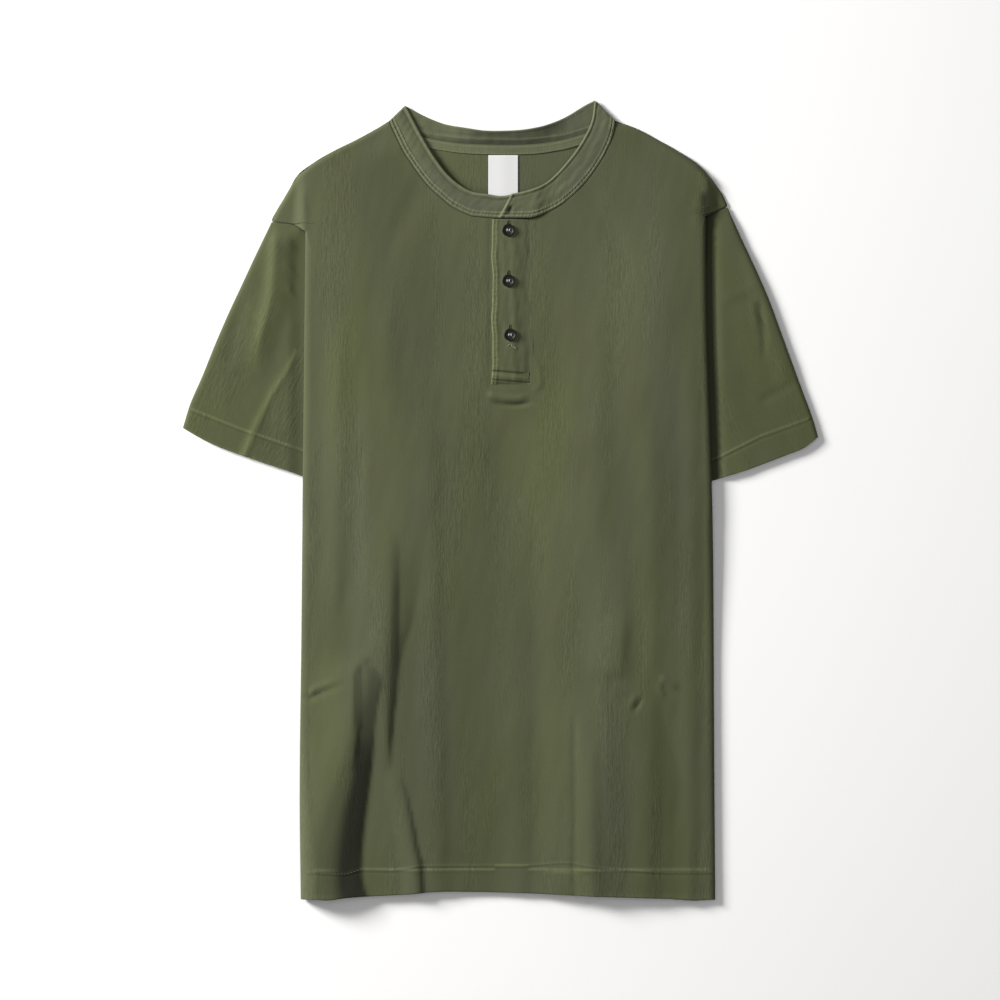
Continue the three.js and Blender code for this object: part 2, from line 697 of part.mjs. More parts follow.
const PLACKET_LAP = { left: 0.8, right: 3.6, foot: 2.2 };
const placketTopHeight = (x, y) => frontTop(x, y) + GAP;

// Upper half of the placket, sewn down along its right side and its foot
function placketTop() {
  const rows = placketRows.map((y) =>
    Math.min(y === PLACKET_FOOT ? PLACKET_FOOT - PLACKET_LAP.foot : y, NECK_FRONT_Y - 0.6));
  const right = rows.map((y) => [PLACKET_RIGHT + PLACKET_LAP.right, y]);
  const left = rows.map((y) => [PLACKET_LEFT - PLACKET_LAP.left, y]);
  return strip(right, left, placketTopHeight, CLOTH, 3);
}

const BUTTONS = table(['x', 'y'], [[6.8, 236.2], [6.8, 191.8], [8.4, 144.3]]);
const BUTTON = { radius: 5.6, rim: 1.4, height: 2.4, dish: 0.8, sides: 20 };

// A button with a raised rim and a sunk middle
function button() {
  const { radius, rim, height, dish, sides } = BUTTON;
  const profile = [
    [0, 0], [radius * 0.72, 0], [radius, height * 0.4], [radius, height * 0.75],
    [radius - rim * 0.4, height], [radius - rim, height * 0.95], [radius - rim * 1.5, height - dish],
    [0, height - dish],
  ].map(([r, z]) => new THREE.Vector2(r, z));
  const geometry = new THREE.LatheGeometry(profile, sides);
  geometry.rotateX(Math.PI / 2);
  geometry.deleteAttribute('uv');
  geometry.deleteAttribute('normal');
  const closed = mergeVertices(geometry, 1e-4);
  closed.computeVertexNormals();
  return closed;
}

const OLIVE = { color: 0x5a5e3f, roughness: 0.92, metalness: 0 };
const OLIVE_SEAM = { color: 0x646846, roughness: 0.92, metalness: 0 };
const BUTTON_BLACK = { color: 0x17150f, roughness: 0.35, metalness: 0 };
const LABEL_WHITE = { color: 0xe4e4de, roughness: 0.8, metalness: 0 };

const shirt = new THREE.Group();

function add(name, geometry, finish) {
  const mesh = new THREE.Mesh(geometry, new THREE.MeshStandardMaterial(finish));
  mesh.name = name;
  shirt.add(mesh);
  return mesh;
}

add('back_body', backBody(), OLIVE);
add('front_body', frontBody(), OLIVE);
add('left_sleeve', sleeve(LEFT), OLIVE);
add('right_sleeve', sleeve(RIGHT), OLIVE);
add('neckband_back', backBand(), OLIVE_SEAM);
add('neckband_front_left', leftBand(), OLIVE_SEAM);
add('neckband_front_right', rightBand(), OLIVE_SEAM);
add('neck_tape', neckTape(), OLIVE_SEAM);
add('neck_label', neckLabel(), LABEL_WHITE);
add('placket_under', placketUnder(), OLIVE);
add('placket_top', placketTop(), OLIVE);
BUTTONS.forEach(({ x, y }, i) => {
  const mesh = add(`button_${i + 1}`, button(), BUTTON_BLACK);
  mesh.position.set(x, y, placketTopHeight(x, y) + CLOTH + GAP);
});

// The origin goes to the middle of the shirt on the surface
const box = new THREE.Box3().setFromObject(shirt);
shirt.position.set(-(box.min.x + box.max.x) / 2, -(box.min.y + box.max.y) / 2, -box.min.z);
shirt.updateMatrixWorld(true);

export default shirt;
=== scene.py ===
import math

import bpy
import numpy as np
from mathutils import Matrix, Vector


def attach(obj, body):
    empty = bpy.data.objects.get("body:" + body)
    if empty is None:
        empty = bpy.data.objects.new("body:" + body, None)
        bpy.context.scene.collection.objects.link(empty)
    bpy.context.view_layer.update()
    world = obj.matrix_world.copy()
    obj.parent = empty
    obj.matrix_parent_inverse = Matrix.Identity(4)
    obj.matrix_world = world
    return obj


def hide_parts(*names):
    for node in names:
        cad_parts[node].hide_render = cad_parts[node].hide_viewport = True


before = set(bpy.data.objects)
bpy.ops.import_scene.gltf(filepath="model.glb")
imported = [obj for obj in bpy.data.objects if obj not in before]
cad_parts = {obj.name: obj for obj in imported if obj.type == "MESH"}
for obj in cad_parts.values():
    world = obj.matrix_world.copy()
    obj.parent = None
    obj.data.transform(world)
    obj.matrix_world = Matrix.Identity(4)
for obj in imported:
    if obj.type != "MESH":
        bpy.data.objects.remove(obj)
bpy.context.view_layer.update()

# A henley shirt in garment dyed knit, laid flat with its sides turned under.
# The shapes are worked out in millimetres, in the same places as the solids, and made in metres.
MM = 0.001

# Cloth
CLOTH = 1.2                 # wall of one layer of knit
GAP = 0.3                   # clear space between two layers
LAYER = CLOTH + GAP
AIR = 2.0                   # loft between back and front away from the edges
AIR_REACH = 58.0

# Driving sizes, as in the solids
HEM_Y = -348.5
NECK_POINT_Y = 332.5
NECK_FRONT_Y = 246.8
UNDERARM_Y = 47.5
PLACKET_LEFT = -6.6
PLACKET_RIGHT = 26.0
PLACKET_FOOT = 102.1
DRAPE_HOLD = 13.0
DRAPE_RUN = 20.0
CUFF_HOLD = 18.0
CUFF_RUN = 27.0
HEM_WAVE_TOP = -285.0
HEM_SEAM_Y = -325.5         # level of the hem's stitching before the hem is waved
HEM_SEAM_REACH = 18.0
HEM_TUCK = 1.4              # the hem of hidden layers stays this far inside the front's
HEM_TUCK_RUN = 30.0         # which comes on over this distance
FOLD_ROLL = 6.5             # half width of the rounded side folds
SIDE_HALF = 4.0             # the lower half of a side fold is no taller than this
FRONT_RUN = 105.0           # the front spans from the turned layers to the middle over this distance
FRONT_CUFF_RUN = 150.0      # it comes down past the cuffs turned under it over this one
FRONT_RISE_RUN = 85.0       # and above the top of the side folds over this one
PLEAT_STEEP = 1.8           # how much faster the cloth drops outwards past the top of a side fold
DETAIL_ROOM_RUN = 26.0      # how soon above the side folds the details keep clear of the shoulders instead
LOFT_ROOM_RUN = 60.0        # and how soon the loft does so
EDGE_ROUND = 1.4            # radius of the rounded edge at the hem, at the neckline and on a sleeve's seam
EDGE_DIP = 0.5              # how far the cloth comes down there
DITCH = 2.4                 # distance of the groove below the stitching of the hem and the cuffs
LEAST_TOP = 0.3             # the outer surface of the front is nowhere lower than this
SEAM_RADIUS = 1.6           # the front's edge is rounded by this at the armhole seam
SEAM_DROP = 1.3             # and comes down by this
SHOULDER_RADIUS = 4.5       # over the shoulder it is rounded by this
SHOULDER_LOW = 0.35         # and comes down to this height
NECK_REACH = 12.0           # no place further than this below the neckline is rounded by it
NECK_MIDDLE_Y = 300.0       # the lower half of the neck is below this level
FAR = 99.0                  # stands for the distance of a line that isn't near

# Outlines, each a list of (level y, distance x) going down
LEFT_SHOULDER = [
    (332.5, -98.2), (326.5, -107.8), (315.9, -127.2), (305.4, -148.3), (294.8, -165.9),
    (284.2, -179.1), (273.7, -185.2), (263.1, -191.4), (252.6, -197.6), (244.5, -201.1),
    (243.0, -196.7), (242.0, -184.0), (238.5, -176.5), (235.0, -171.4)]
RIGHT_SHOULDER = [
    (332.5, 101.4), (326.5, 118.4), (315.9, 138.6), (305.4, 157.1), (294.8, 172.9),
    (284.2, 183.5), (273.7, 191.4), (263.1, 197.6), (257.2, 199.3), (254.3, 193.2),
    (249.0, 180.4)]
LEFT_FOLD = [(235, -171.4), (16, -173.8), (-120, -175.1), (-264, -176.6), (-348.5, -175.6)]
RIGHT_FOLD = [(249, 180.2), (175, 180.8), (16, 185.6), (-54, 187.0), (-240, 188.0), (-348.5, 188.8)]
LEFT_TURN = [
    (235, -166.0), (205, -162), (170, -155), (135, -146), (102, -135), (75, -121),
    (47.5, -103.4), (-348.5, -103.4)]
RIGHT_TURN = [
    (249, 174.8), (228, 173), (205, 170), (170, 163), (135, 154), (102, 144), (75, 131),
    (47.5, 115.7), (-348.5, 115.7)]
LEFT_NECK = [
    (332.5, -98.2), (326.5, -95.6), (315.9, -90.6), (305.4, -85.4), (294.8, -78.5), (284.2, -71),
    (273.7, -62.3), (263.1, -50.5), (257.2, -43.5), (251, -31.5), (248.2, -24.2), (246.8, -6.6)]
RIGHT_NECK = [
    (332.5, 101.4), (326.5, 100.6), (315.9, 97.9), (305.4, 93.2), (294.8, 87.3), (284.2, 79.9),
    (273.7, 70.9), (263.1, 59.6), (257.2, 51.5), (251, 39.5), (248.2, 32), (246.8, 26)]
LEFT_SLEEVE_EDGE = [
    (243.9, -201.3), (236.7, -204.6), (214.7, -215.2), (188.3, -227.5), (161.9, -239.8),
    (135.5, -251.2), (109.1, -261.8), (82.7, -273.2), (62.5, -279.4)]
RIGHT_SLEEVE_EDGE = [
    (256.5, 199.6), (247.3, 203.7), (227.9, 212.5), (201.5, 224.8), (175.1, 236.3),
    (148.7, 246.0), (122.3, 255.6), (95.9, 265.3), (69.5, 275.0), (54.6, 279.4)]

# Lines across, each a list of places (x, y)
LEFT_CUFF = [(-279.4, 62.5), (-260.9, 51.9), (-243.3, 44.0), (-208.1, 31.7), (-174.7, 20.2), (-116.6, -3.1)]
RIGHT_CUFF = [(279.4, 54.6), (267.1, 44.9), (249.5, 37.8), (214.3, 24.6), (188.8, 16.7), (120.1, -7.9)]
BACK_NECK = [
    (-98.2, 332.5), (-78, 322.5), (-57.6, 316.8), (-26.8, 312.8), (3.1, 312.0),
    (25.1, 312.4), (52.4, 315.9), (69.1, 320.3), (87.6, 326.5), (101.4, 332.5)]
BACK_BAND_TOP = [
    (-84.2, 346.0), (-67.3, 337.0), (-49.7, 330.0), (-32.1, 326.5), (-14.5, 323.8),
    (3.1, 323.6), (20.7, 324.7), (38.3, 328.2), (55.9, 335.3), (73.5, 345.8), (82.8, 350.6)]
LEFT_BAND_EDGE = [
    (-83.4, 346.0), (-77.5, 335.0), (-70.8, 322.1), (-57.6, 300.1), (-43.6, 282.5), (-26.8, 271.0),
    (-11.0, 268.0), (3.1, 266.6), (26, 271.5)]
RIGHT_BAND_EDGE = [
    (9.2, 268.0), (25.1, 271.6), (40.0, 278.1), (54.1, 291.3), (69.1, 310.6), (79.6, 330.9), (82.8, 350.6)]
HEM_LINE = [
    (-175.6, -346.7), (-171, -350.2), (-152, -352.0), (-135, -350.2), (-85, -347.6),
    (-50, -345.0), (3, -345.8), (73, -348.5), (115, -350.2), (150, -351.5), (172, -352.9),
    (185, -352.0), (188.8, -348.5)]
HEM_STITCH = [
    (-173.8, -326.9), (-136.8, -329.1), (-120.1, -325.2), (-94.2, -326.0), (-79.6, -323.8),
    (-68.2, -322.1), (16.3, -322.1), (56.8, -319.4), (90.6, -323.8), (116.6, -326.0),
    (145.6, -328.2), (187.9, -328.2)]
LEFT_CUFF_STITCH = [(-271.5, 79.0), (-227.8, 61.6), (-174.2, 43.1), (-140, 29.5)]
RIGHT_CUFF_STITCH = [(270.0, 70.2), (229.0, 55.4), (193.6, 37.8), (160, 25.5)]

# Folds: crest points, rise at its start and end, reach of the left and right flank at both ends,
# crispness from 0, rounded, to 1, a sharp crease, and the length over which the ends fade
BODY_FOLDS = [
    ("low left groove", [(-125.4, -148), (-125.0, -177), (-125.4, -210)], (-1.3, -1.2), (4, 4), (2.6, 2.6),
     0.5, (6, 16)),
    ("side tuck", [(-171, -176.5), (-160.6, -170.7), (-147.8, -165.9), (-134, -162.8)], (-1.9, -0.9),
     (3.0, 3), (4.5, 3), 0.6, (3, 12)),
    ("side tuck roll", [(-170, -171.5), (-160.6, -165.8), (-147.8, -161.0), (-138, -159)], (1.9, 0.9),
     (3.6, 3.2), (6, 5), 0.2, (5, 14)),
    ("small crinkle", [(-121, -141), (-116.5, -143.5), (-115.5, -149)], (-1.5, -1.2), (2.5, 2.5),
     (2.5, 2.5), 0.6, (2, 3)),
    ("small crinkle roll", [(-120, -137.5), (-113, -140.5)], (0.9, 0.7), (3, 3), (3, 3), 0.2, (3, 3)),
    ("right dash", [(116.8, -186), (123.6, -175.2)], (-2.2, -1.8), (2.8, 2.8), (2.8, 2.8), 0.6,
     (1.5, 2.5)),
    ("right dash roll", [(113.4, -183), (120, -172.4)], (1.0, 0.8), (4, 4), (3, 3), 0.1, (3, 3)),
    ("right crinkle", [(139, -161), (146, -167), (151, -171.5), (158, -172)], (-0.4, -0.3), (3, 3),
     (2.8, 2.8), 0.4, (4, 5)),
    ("right crinkle hook", [(138.5, -161), (140.5, -167), (144, -174)], (1.0, 0.8), (2.8, 2.8), (2.8, 2.8),
     0.4, (3, 3)),
    ("right crinkle roll", [(140, -156.5), (149, -162), (157, -166)], (2.0, 1.1), (4, 4), (3.6, 3.6), 0.2,
     (3, 5)),
    ("low right ridge", [(79, -195), (80, -280), (80.5, -356)], (0.8, 1.7), (13, 13), (12, 12), 0,
     (40, 0)),
    ("low right groove", [(65.8, -180), (66.2, -280), (65.5, -356)], (-0.7, -1.0), (6, 6), (2.8, 2.8), 0.4,
     (30, 0)),
    ("far right ridge", [(131, 90), (133, -60), (131, -220), (128, -356)], (0.5, 1.2), (18, 20), (14, 16),
     0, (60, 0)),
    ("outer right ridge", [(167, 150), (168, -80), (166, -250), (165, -356)], (0.7, 1.1), (14, 14),
     (12, 12), 0, (60, 0)),
    ("middle ridge", [(14, 60), (12, -120), (13, -356)], (0.3, 1.0), (22, 24), (16, 16), 0, (80, 0)),
    ("middle hollow", [(34, 40), (33, -120), (34, -356)], (-0.3, -0.7), (12, 14), (16, 18), 0, (90, 0)),
    ("left middle ridge", [(-62, 120), (-60, -80), (-54, -356)], (0.5, 1.1), (18, 22), (13, 14), 0,
     (80, 0)),
    ("outer left ridge", [(-141, 180), (-143, 20), (-146, -130)], (0.8, 1.1), (16, 16), (11, 11), 0,
     (60, 60)),
    ("outer left hollow", [(-124, 150), (-126, 20), (-128, -100)], (-0.5, -0.7), (10, 10), (12, 12), 0,
     (60, 60)),
    ("chest ridge", [(88, 200), (86, 60), (84, -60)], (0.5, 0.5), (16, 16), (16, 16), 0, (60, 60)),
    ("left chest ridge", [(-98, 200), (-100, 60)], (0.5, 0.5), (16, 16), (16, 16), 0, (50, 50)),
    ("shoulder hollow left", [(-60, 290), (-78, 262), (-96, 224), (-108, 180)], (-0.5, -0.6), (14, 16),
     (14, 16), 0, (30, 50)),
    ("shoulder hollow right", [(64, 290), (84, 262), (102, 224), (112, 180)], (-0.5, -0.6), (14, 16),
     (14, 16), 0, (30, 50)),
    ("fold below placket", [(-11, 88.6), (-5, 85.4), (3, 83.2), (12, 82.6), (19, 83.2), (31, 85.6)],
     (-2.2, -1.6), (3.6, 3.6), (3.4, 3.4), 0.3, (14, 14)),
    ("roll below placket", [(-12, 94.0), (-5, 90.9), (4, 88.9), (14, 88.4), (26, 90.4)], (1.4, 1.0),
     (5.5, 5.5), (4, 4), 0.1, (6, 8)),
    ("halo beside the placket foot", [(30.5, 122), (35, 110), (34.5, 100), (28, 94)], (0.7, 0.6),
     (3.4, 3.4), (3.4, 3.4), 0.1, (10, 6)),
    ("left pleat dimple", [(-163, 262), (-169, 246), (-168.5, 228)], (-0.4, -0.8), (7, 7), (9, 7), 0.2,
     (18, 10)),
    ("right pleat dimple", [(178.8, 270), (178.8, 260), (179.5, 249)], (-1.4, -2.4), (4, 4), (4, 4), 0.3,
     (6, 0)),
    ("right pleat roll", [(171, 268), (174.5, 250), (175.5, 225)], (0.3, 0.5), (8, 8), (4, 4), 0.1,
     (16, 24)),
]
# Laps: cloth that stays high up to a crest line and drops to a foot line on its right. Each has its
# crest and foot, (level, rise) pairs, a bend from below 1, steepest at the crest, to above 1, steepest
# at the foot, the reach of its left flank, and how much shade is painted towards its foot
LAPS = [
    ("low left fold",
     [(-137.3, -123.6), (-159.3, -128.0), (-203.3, -134.2), (-238.5, -143.0), (-282.5, -155.3),
      (-326.5, -161.5), (-352, -162.4)],
     [(-137.3, -116.6), (-161.0, -103.4), (-187.4, -107.8), (-212.1, -110.0), (-234.1, -111.8),
      (-256.1, -114.4), (-282.5, -117.9), (-308.9, -120.1), (-326.5, -120.6), (-339.7, -118.4),
      (-352, -114.0)],
     [(-132.9, 0), (-145.2, 1.4), (-159.3, 2.8), (-203.3, 4.4), (-238.5, 7.2), (-282.5, 9.4), (-326.5, 10.0),
      (-352, 10.2)], 1.5, 60, 1.05),
    ("low left edge",
     [(-145.2, -128.5), (-176.9, -128.5), (-207.7, -129.8), (-234.1, -132.4)],
     [(-145.2, -121.9), (-176.9, -120.6), (-207.7, -122.3), (-234.1, -125.4)],
     [(-141.7, 0), (-152.2, 1.4), (-163.7, 1.9), (-203.3, 2.3), (-225.3, 1.2), (-242.9, 0)], 1.3, 30, 0.6),
    ("left crease",
     [(-36.1, -99.0), (-88.9, -100.3), (-132.9, -101.6), (-159.3, -102.5), (-203.3, -101.2), (-234.1, -99.0)],
     [(-36.1, -89.3), (-88.9, -88.0), (-132.9, -88.4), (-159.3, -89.8), (-203.3, -94.2), (-234.1, -95.9)],
     [(-27.3, 0), (-53.7, 1.0), (-88.9, 2.0), (-132.9, 2.9), (-159.3, 3.2), (-203.3, 2.4), (-225.3, 0.9),
      (-238.5, 0)], 1.6, 34, 0.62),
    ("left crease side",
     [(-0.9, -88.4), (-44.9, -88.4), (-80.1, -87.6), (-106.5, -86.7), (-128.5, -89.3), (-146.1, -91.1)],
     [(-0.9, -58.5), (-44.9, -65.6), (-80.1, -71.7), (-106.5, -76.6), (-128.5, -84.0), (-146.1, -87.6)],
     [(25.5, 0), (-18.5, 0.8), (-62.5, 1.2), (-106.5, 1.4), (-132.9, 0.9), (-150.5, 0)], 1.2, 30, 0.1),
    ("low left pleat",
     [(-242.9, -90.2), (-256.1, -86.7), (-278.1, -82.3), (-304.5, -77.9), (-326.5, -74.4), (-352, -73.5)],
     [(-242.9, -86.7), (-256.1, -82.3), (-278.1, -77.0), (-304.5, -72.2), (-326.5, -67.3), (-352, -66.4)],
     [(-238.5, 0), (-256.1, 0.7), (-278.1, 1.2), (-304.5, 1.7), (-326.5, 2.5), (-352, 2.7)], 1.5, 16, 0.6),
    ("right crease",
     [(-53.7, 108.7), (-88.9, 107.8), (-124.1, 106.9), (-150.5, 106.0)],
     [(-53.7, 131.6), (-88.9, 129.8), (-124.1, 126.3), (-150.5, 122.8)],
     [(-36.1, 0), (-88.9, 1.0), (-124.1, 2.3), (-146.1, 1.8), (-159.3, 0)], 0.5, 40, 0.0),
    ("right step",
     [(-124.1, 87.6), (-168.1, 91.1), (-212.1, 92.8), (-264.9, 93.7), (-308.9, 91.1), (-352, 89.3)],
     [(-124.1, 122.8), (-168.1, 136.0), (-212.1, 150.9), (-264.9, 164.0), (-308.9, 165.0), (-352, 165.0)],
     [(-106.5, 0), (-159.3, 1.8), (-212.1, 4.0), (-264.9, 5.2), (-352, 5.4)], 0.7, 90, 0.12),
]
# Creases painted with shade: places, half width and strength at both ends, fades of the ends
DARK_CREASES = [
    ([(178.8, 273), (178.8, 262), (178.9, 252), (179.2, 243), (179.4, 225), (180.0, 200)], (5.4, 3.4),
     (1.1, 0.6), (9, 20)),
    ([(-8, 86.9), (-5, 85.4), (3, 83.2), (12, 82.6), (19, 83.2), (28, 85.0)], (2.4, 2.2), (0.4, 0.2),
     (12, 10)),
    ([(-172.5, 272), (-170.3, 255), (-171.4, 226)], (3.2, 3.6), (0.25, 0.25), (8, 10)),
    ([(225.7, 175), (229.2, 157.5), (231.9, 142.6)], (2.4, 2.2), (0.5, 0.35), (5, 8)),
]
# Wide places painted a little darker as shade: middle, half sizes and strength
PAINTED_SHADE_PATCHES = [
    (-128, 292, 100, 75, 0.24), (135, 285, 100, 80, 0.22), (-25, -235, 110, 190, 0.15),
    (-150, -330, 60, 60, 0.12), (70, 150, 90, 160, 0.05)]
# The left side roll opens out beside the low fold: (level, half width)
LEFT_ROLL = [(-150, 6.5), (-230, 9.0), (-300, 14.0), (-352, 15.0)]
SLEEVE_FOLDS = [
    ("left broad ridge", [(-195, 238), (-196, 197), (-200, 172), (-211, 132), (-214, 96)], (2.1, 2.1),
     (16, 16), (18, 16), 0.1, (10, 40)),
    ("left crisp ridge", [(-180, 130), (-187, 115), (-202, 91.5), (-217, 60), (-226.5, 36)], (0.6, 1.5),
     (4.4, 7), (4.4, 6.4), 0.6, (10, 0)),
    ("left broad crest", [(-197, 241), (-198.5, 212), (-201.5, 179), (-213, 132), (-215, 114)], (1.3, 0.7),
     (9, 9), (4.4, 5), 0.3, (3, 30)),
    ("left hollow", [(-180, 236), (-178, 195), (-179, 150)], (-0.7, -0.5), (7, 7), (8, 8), 0.1, (16, 34)),
    ("left crinkle one", [(-190, 229), (-178, 215)], (0.7, 0.6), (4, 4), (5, 5), 0.2, (5, 5)),
    ("left crinkle two", [(-191, 209), (-176, 193)], (0.6, 0.6), (4, 4), (5, 5), 0.2, (5, 5)),
    ("left crinkle three", [(-189, 189), (-177, 172)], (0.5, 0.5), (4, 4), (5, 5), 0.2, (5, 5)),
    ("left outer hollow", [(-222, 190), (-232, 150), (-246, 100)], (-0.6, -0.8), (10, 10), (10, 10), 0,
     (30, 30)),
    ("right cross ridge", [(193, 172), (212, 180), (231, 189)], (0.5, 0.4), (12, 12), (4, 4), 0.2,
     (10, 14)),
    ("right cross hollow", [(193, 167), (212, 175), (229, 182)], (-0.1, -0.1), (4, 4), (7, 7), 0.2,
     (10, 14)),
    ("right short crease", [(225.7, 175), (229.2, 157.5), (231.9, 142.6), (230.5, 118)], (-2.0, -1.0),
     (3.0, 2.8), (4.0, 4.0), 0.5, (6, 18)),
    ("right short roll", [(221, 175), (224.6, 157.5), (227, 140)], (0.8, 0.6), (6, 6), (3, 3), 0.1,
     (8, 18)),
    ("right cuff crease", [(225, 84), (262, 103)], (-0.8, -0.8), (5, 5), (5, 5), 0.4, (10, 10)),
    ("right long ridge", [(214, 228), (238, 150), (256, 90)], (1.0, 0.8), (12, 12), (12, 12), 0,
     (20, 30)),
]


# Small helpers for numbers and lines
def ease(t):
    s = np.clip(t, 0.0, 1.0)
    return s * s * (3 - 2 * s)


def mix(a, b, t):
    return a + (b - a) * t


def smooth_line(keys, values):
    """A function that runs smoothly through the values, with no overshoot between them."""
    order = np.argsort(keys)
    k = np.asarray(keys, float)[order]
    v = np.asarray(values, float)[order]
    step = np.diff(k)
    slope = np.diff(v) / step
    tangent = np.zeros(len(k))
    for i in range(1, len(k) - 1):
        if slope[i - 1] * slope[i] > 0:
            tangent[i] = 2 * slope[i - 1] * slope[i] / (slope[i - 1] + slope[i])
    tangent[0], tangent[-1] = slope[0], slope[-1]

    def at(x):
        x = np.clip(np.asarray(x, float), k[0], k[-1])
        i = np.clip(np.searchsorted(k, x, side="right") - 1, 0, len(k) - 2)
        t = (x - k[i]) / step[i]
        a = v[i] * (2 * t**3 - 3 * t**2 + 1) + v[i + 1] * (3 * t**2 - 2 * t**3)
        return a + step[i] * (tangent[i] * (t**3 - 2 * t**2 + t) + tangent[i + 1] * (t**3 - t**2))

    return at


def by_level(rows):
    return smooth_line([y for y, x in rows], [x for y, x in rows])


def by_place(points):
    return smooth_line([x for x, y in points], [y for x, y in points])


def lengths_along(points):
    """The distance along a line of points, at each of them."""
    return np.concatenate([[0], np.cumsum(np.linalg.norm(np.diff(points, axis=0), axis=1))])


def curve_through(points, count):
    """Points at even steps along a smooth curve through the given places."""
    p = np.asarray(points, float)
    chord = lengths_along(p)
    dense = np.linspace(0, chord[-1], 40 * len(p))
    ends = [2 * p[0] - p[1], *p, 2 * p[-1] - p[-2]]
    out = []
    for s in dense:
        i = min(int(np.searchsorted(chord, s, side="right")) - 1, len(p) - 2)
        t = (s - chord[i]) / (chord[i + 1] - chord[i])
        a, b, c, d = ends[i], ends[i + 1], ends[i + 2], ends[i + 3]
        out.append(0.5 * (2 * b + (c - a) * t + (2 * a - 5 * b + 4 * c - d) * t**2
                          + (3 * b - a - 3 * c + d) * t**3))
    return even_steps(np.array(out), count)


def even_steps(points, count):
    length = lengths_along(points)
    want = np.linspace(0, length[-1], count)
    return np.stack([np.interp(want, length, points[:, k]) for k in range(points.shape[1])], axis=1)


def line_distance(points, x, y):
    """Distance to a line, the share of its length at the nearest place, the side (+1 left), its length."""
    best = np.full(np.shape(x), 1e9)
    share = np.zeros(np.shape(x))
    side = np.zeros(np.shape(x))
    lengths = [math.dist(a, b) for a, b in zip(points, points[1:])]
    total, done = sum(lengths), 0.0
    for (ax, ay), (bx, by), length in zip(points, points[1:], lengths):
        t = np.clip(((x - ax) * (bx - ax) + (y - ay) * (by - ay)) / length**2, 0, 1)
        far = np.hypot(x - mix(ax, bx, t), y - mix(ay, by, t))
        near = far < best
        best = np.where(near, far, best)
        share = np.where(near, (done + t * length) / total, share)
        side = np.where(near, np.sign((bx - ax) * (y - ay) - (by - ay) * (x - ax)), side)
        done += length
    return best, share, side, total


def faded_ends(share, length, fade):
    """Comes up from 0 at both ends of a line over two distances; where one is 0, that end stays at 1."""
    start = ease(share * length / fade[0]) if fade[0] else 1
    return start * (ease((1 - share) * length / fade[1]) if fade[1] else 1)


def fold_height(folds, x, y):
    height = np.zeros(np.shape(x))
    for _, points, rise, left, right, crisp, fade in folds:
        far, share, side, total = line_distance(points, x, y)
        downward = points[0][1] >= points[-1][1]
        on_left = (side < 0) if downward else (side > 0)
        reach = np.where(on_left, mix(*left, share), mix(*right, share))
        t = np.clip(1 - far / reach, 0, 1)
        profile = mix(ease(t), t**2, crisp)
        height = height + mix(*rise, share) * profile * faded_ends(share, total, fade)
    return height


def lap_place(crest, foot, x, y):
    """How far a place is from a lap's crest, 0, to its foot, 1, and its distance left of the crest."""
    top, end = by_level(crest)(y), by_level(foot)(y)
    return np.clip((x - top) / (end - top), 0, 1), top - x


def lap_rise(x, y):
    total = np.zeros(np.shape(x))
    for _, crest, foot, rise, bend, reach, _ in LAPS:
        share, left = lap_place(crest, foot, x, y)
        drop = share**bend if bend >= 1 else 1 - (1 - share) ** (1 / bend)
        total = total + np.maximum(0, by_level(rise)(y)) * (1 - drop) * ease(1 - left / reach)
    return total


SHADE_FROM, SHADE_RUN = 0.25, 0.38   # where down a lap the painted shade comes in, as shares of its width


def lap_shade(x, y):
    total = np.zeros(np.shape(x))
    for _, crest, foot, rise, _, _, shade in LAPS:
        share, _ = lap_place(crest, foot, x, y)
        levels = by_level(rise)(y)
        strength = np.clip(levels / (0.6 * max(r for _, r in rise)), 0, 1)
        total = total + shade * strength * ease((share - SHADE_FROM) / SHADE_RUN) * ease((1 - share) / 0.09)
    return total


def crease_shade(x, y):
    total = np.zeros(np.shape(x))
    for points, width, strength, fade in DARK_CREASES:
        far, share, _, length = line_distance(points, x, y)
        ends = faded_ends(share, length, fade)
        total = total + mix(*strength, share) * ends * ease(1 - far / mix(*width, share))
    for at_x, at_y, half_x, half_y, strength in PAINTED_SHADE_PATCHES:
        total = total + strength * ease(1 - np.hypot((x - at_x) / half_x, (y - at_y) / half_y))
    return total


def ripple(x, y, seed, size, stretch=1.0):
    """A smooth irregular wave between about -1 and 1, made of a few sines."""
    random = np.random.default_rng(seed)
    total = np.zeros(np.shape(x))
    for _ in range(7):
        angle, phase = random.uniform(0, 2 * math.pi, 2)
        scale = size * random.uniform(0.6, 1.6)
        along = x * math.cos(angle) + y * math.sin(angle) / stretch
        total = total + np.sin(along * 2 * math.pi / scale + phase)
    return total / 4


class Side:
    """One side of the shirt, with the lines it follows."""

    def __init__(self, sign, shoulder, fold, turn, neck, cuff, sleeve_edge):
        self.sign = sign
        self.top = fold[0][0]
        self.shoulder_line = [(x, y) for y, x in shoulder]
        self.shoulder_at = by_level(shoulder)
        self.fold_at = by_level(fold)
        self.turn_at = by_level(turn)
        self.neck_at = by_level(neck)
        self.cuff_at = by_place(cuff)
        self.cuff = cuff
        self.sleeve_edge_at = by_level(sleeve_edge)
        self.sleeve_top = sleeve_edge[0][0]
        self.sleeve_foot = sleeve_edge[-1][0]
        self.cuff_stitch = LEFT_CUFF_STITCH if sign < 0 else RIGHT_CUFF_STITCH
        self.roll_gain = (lambda y: by_level(LEFT_ROLL)(y) - FOLD_ROLL) if sign < 0 else None


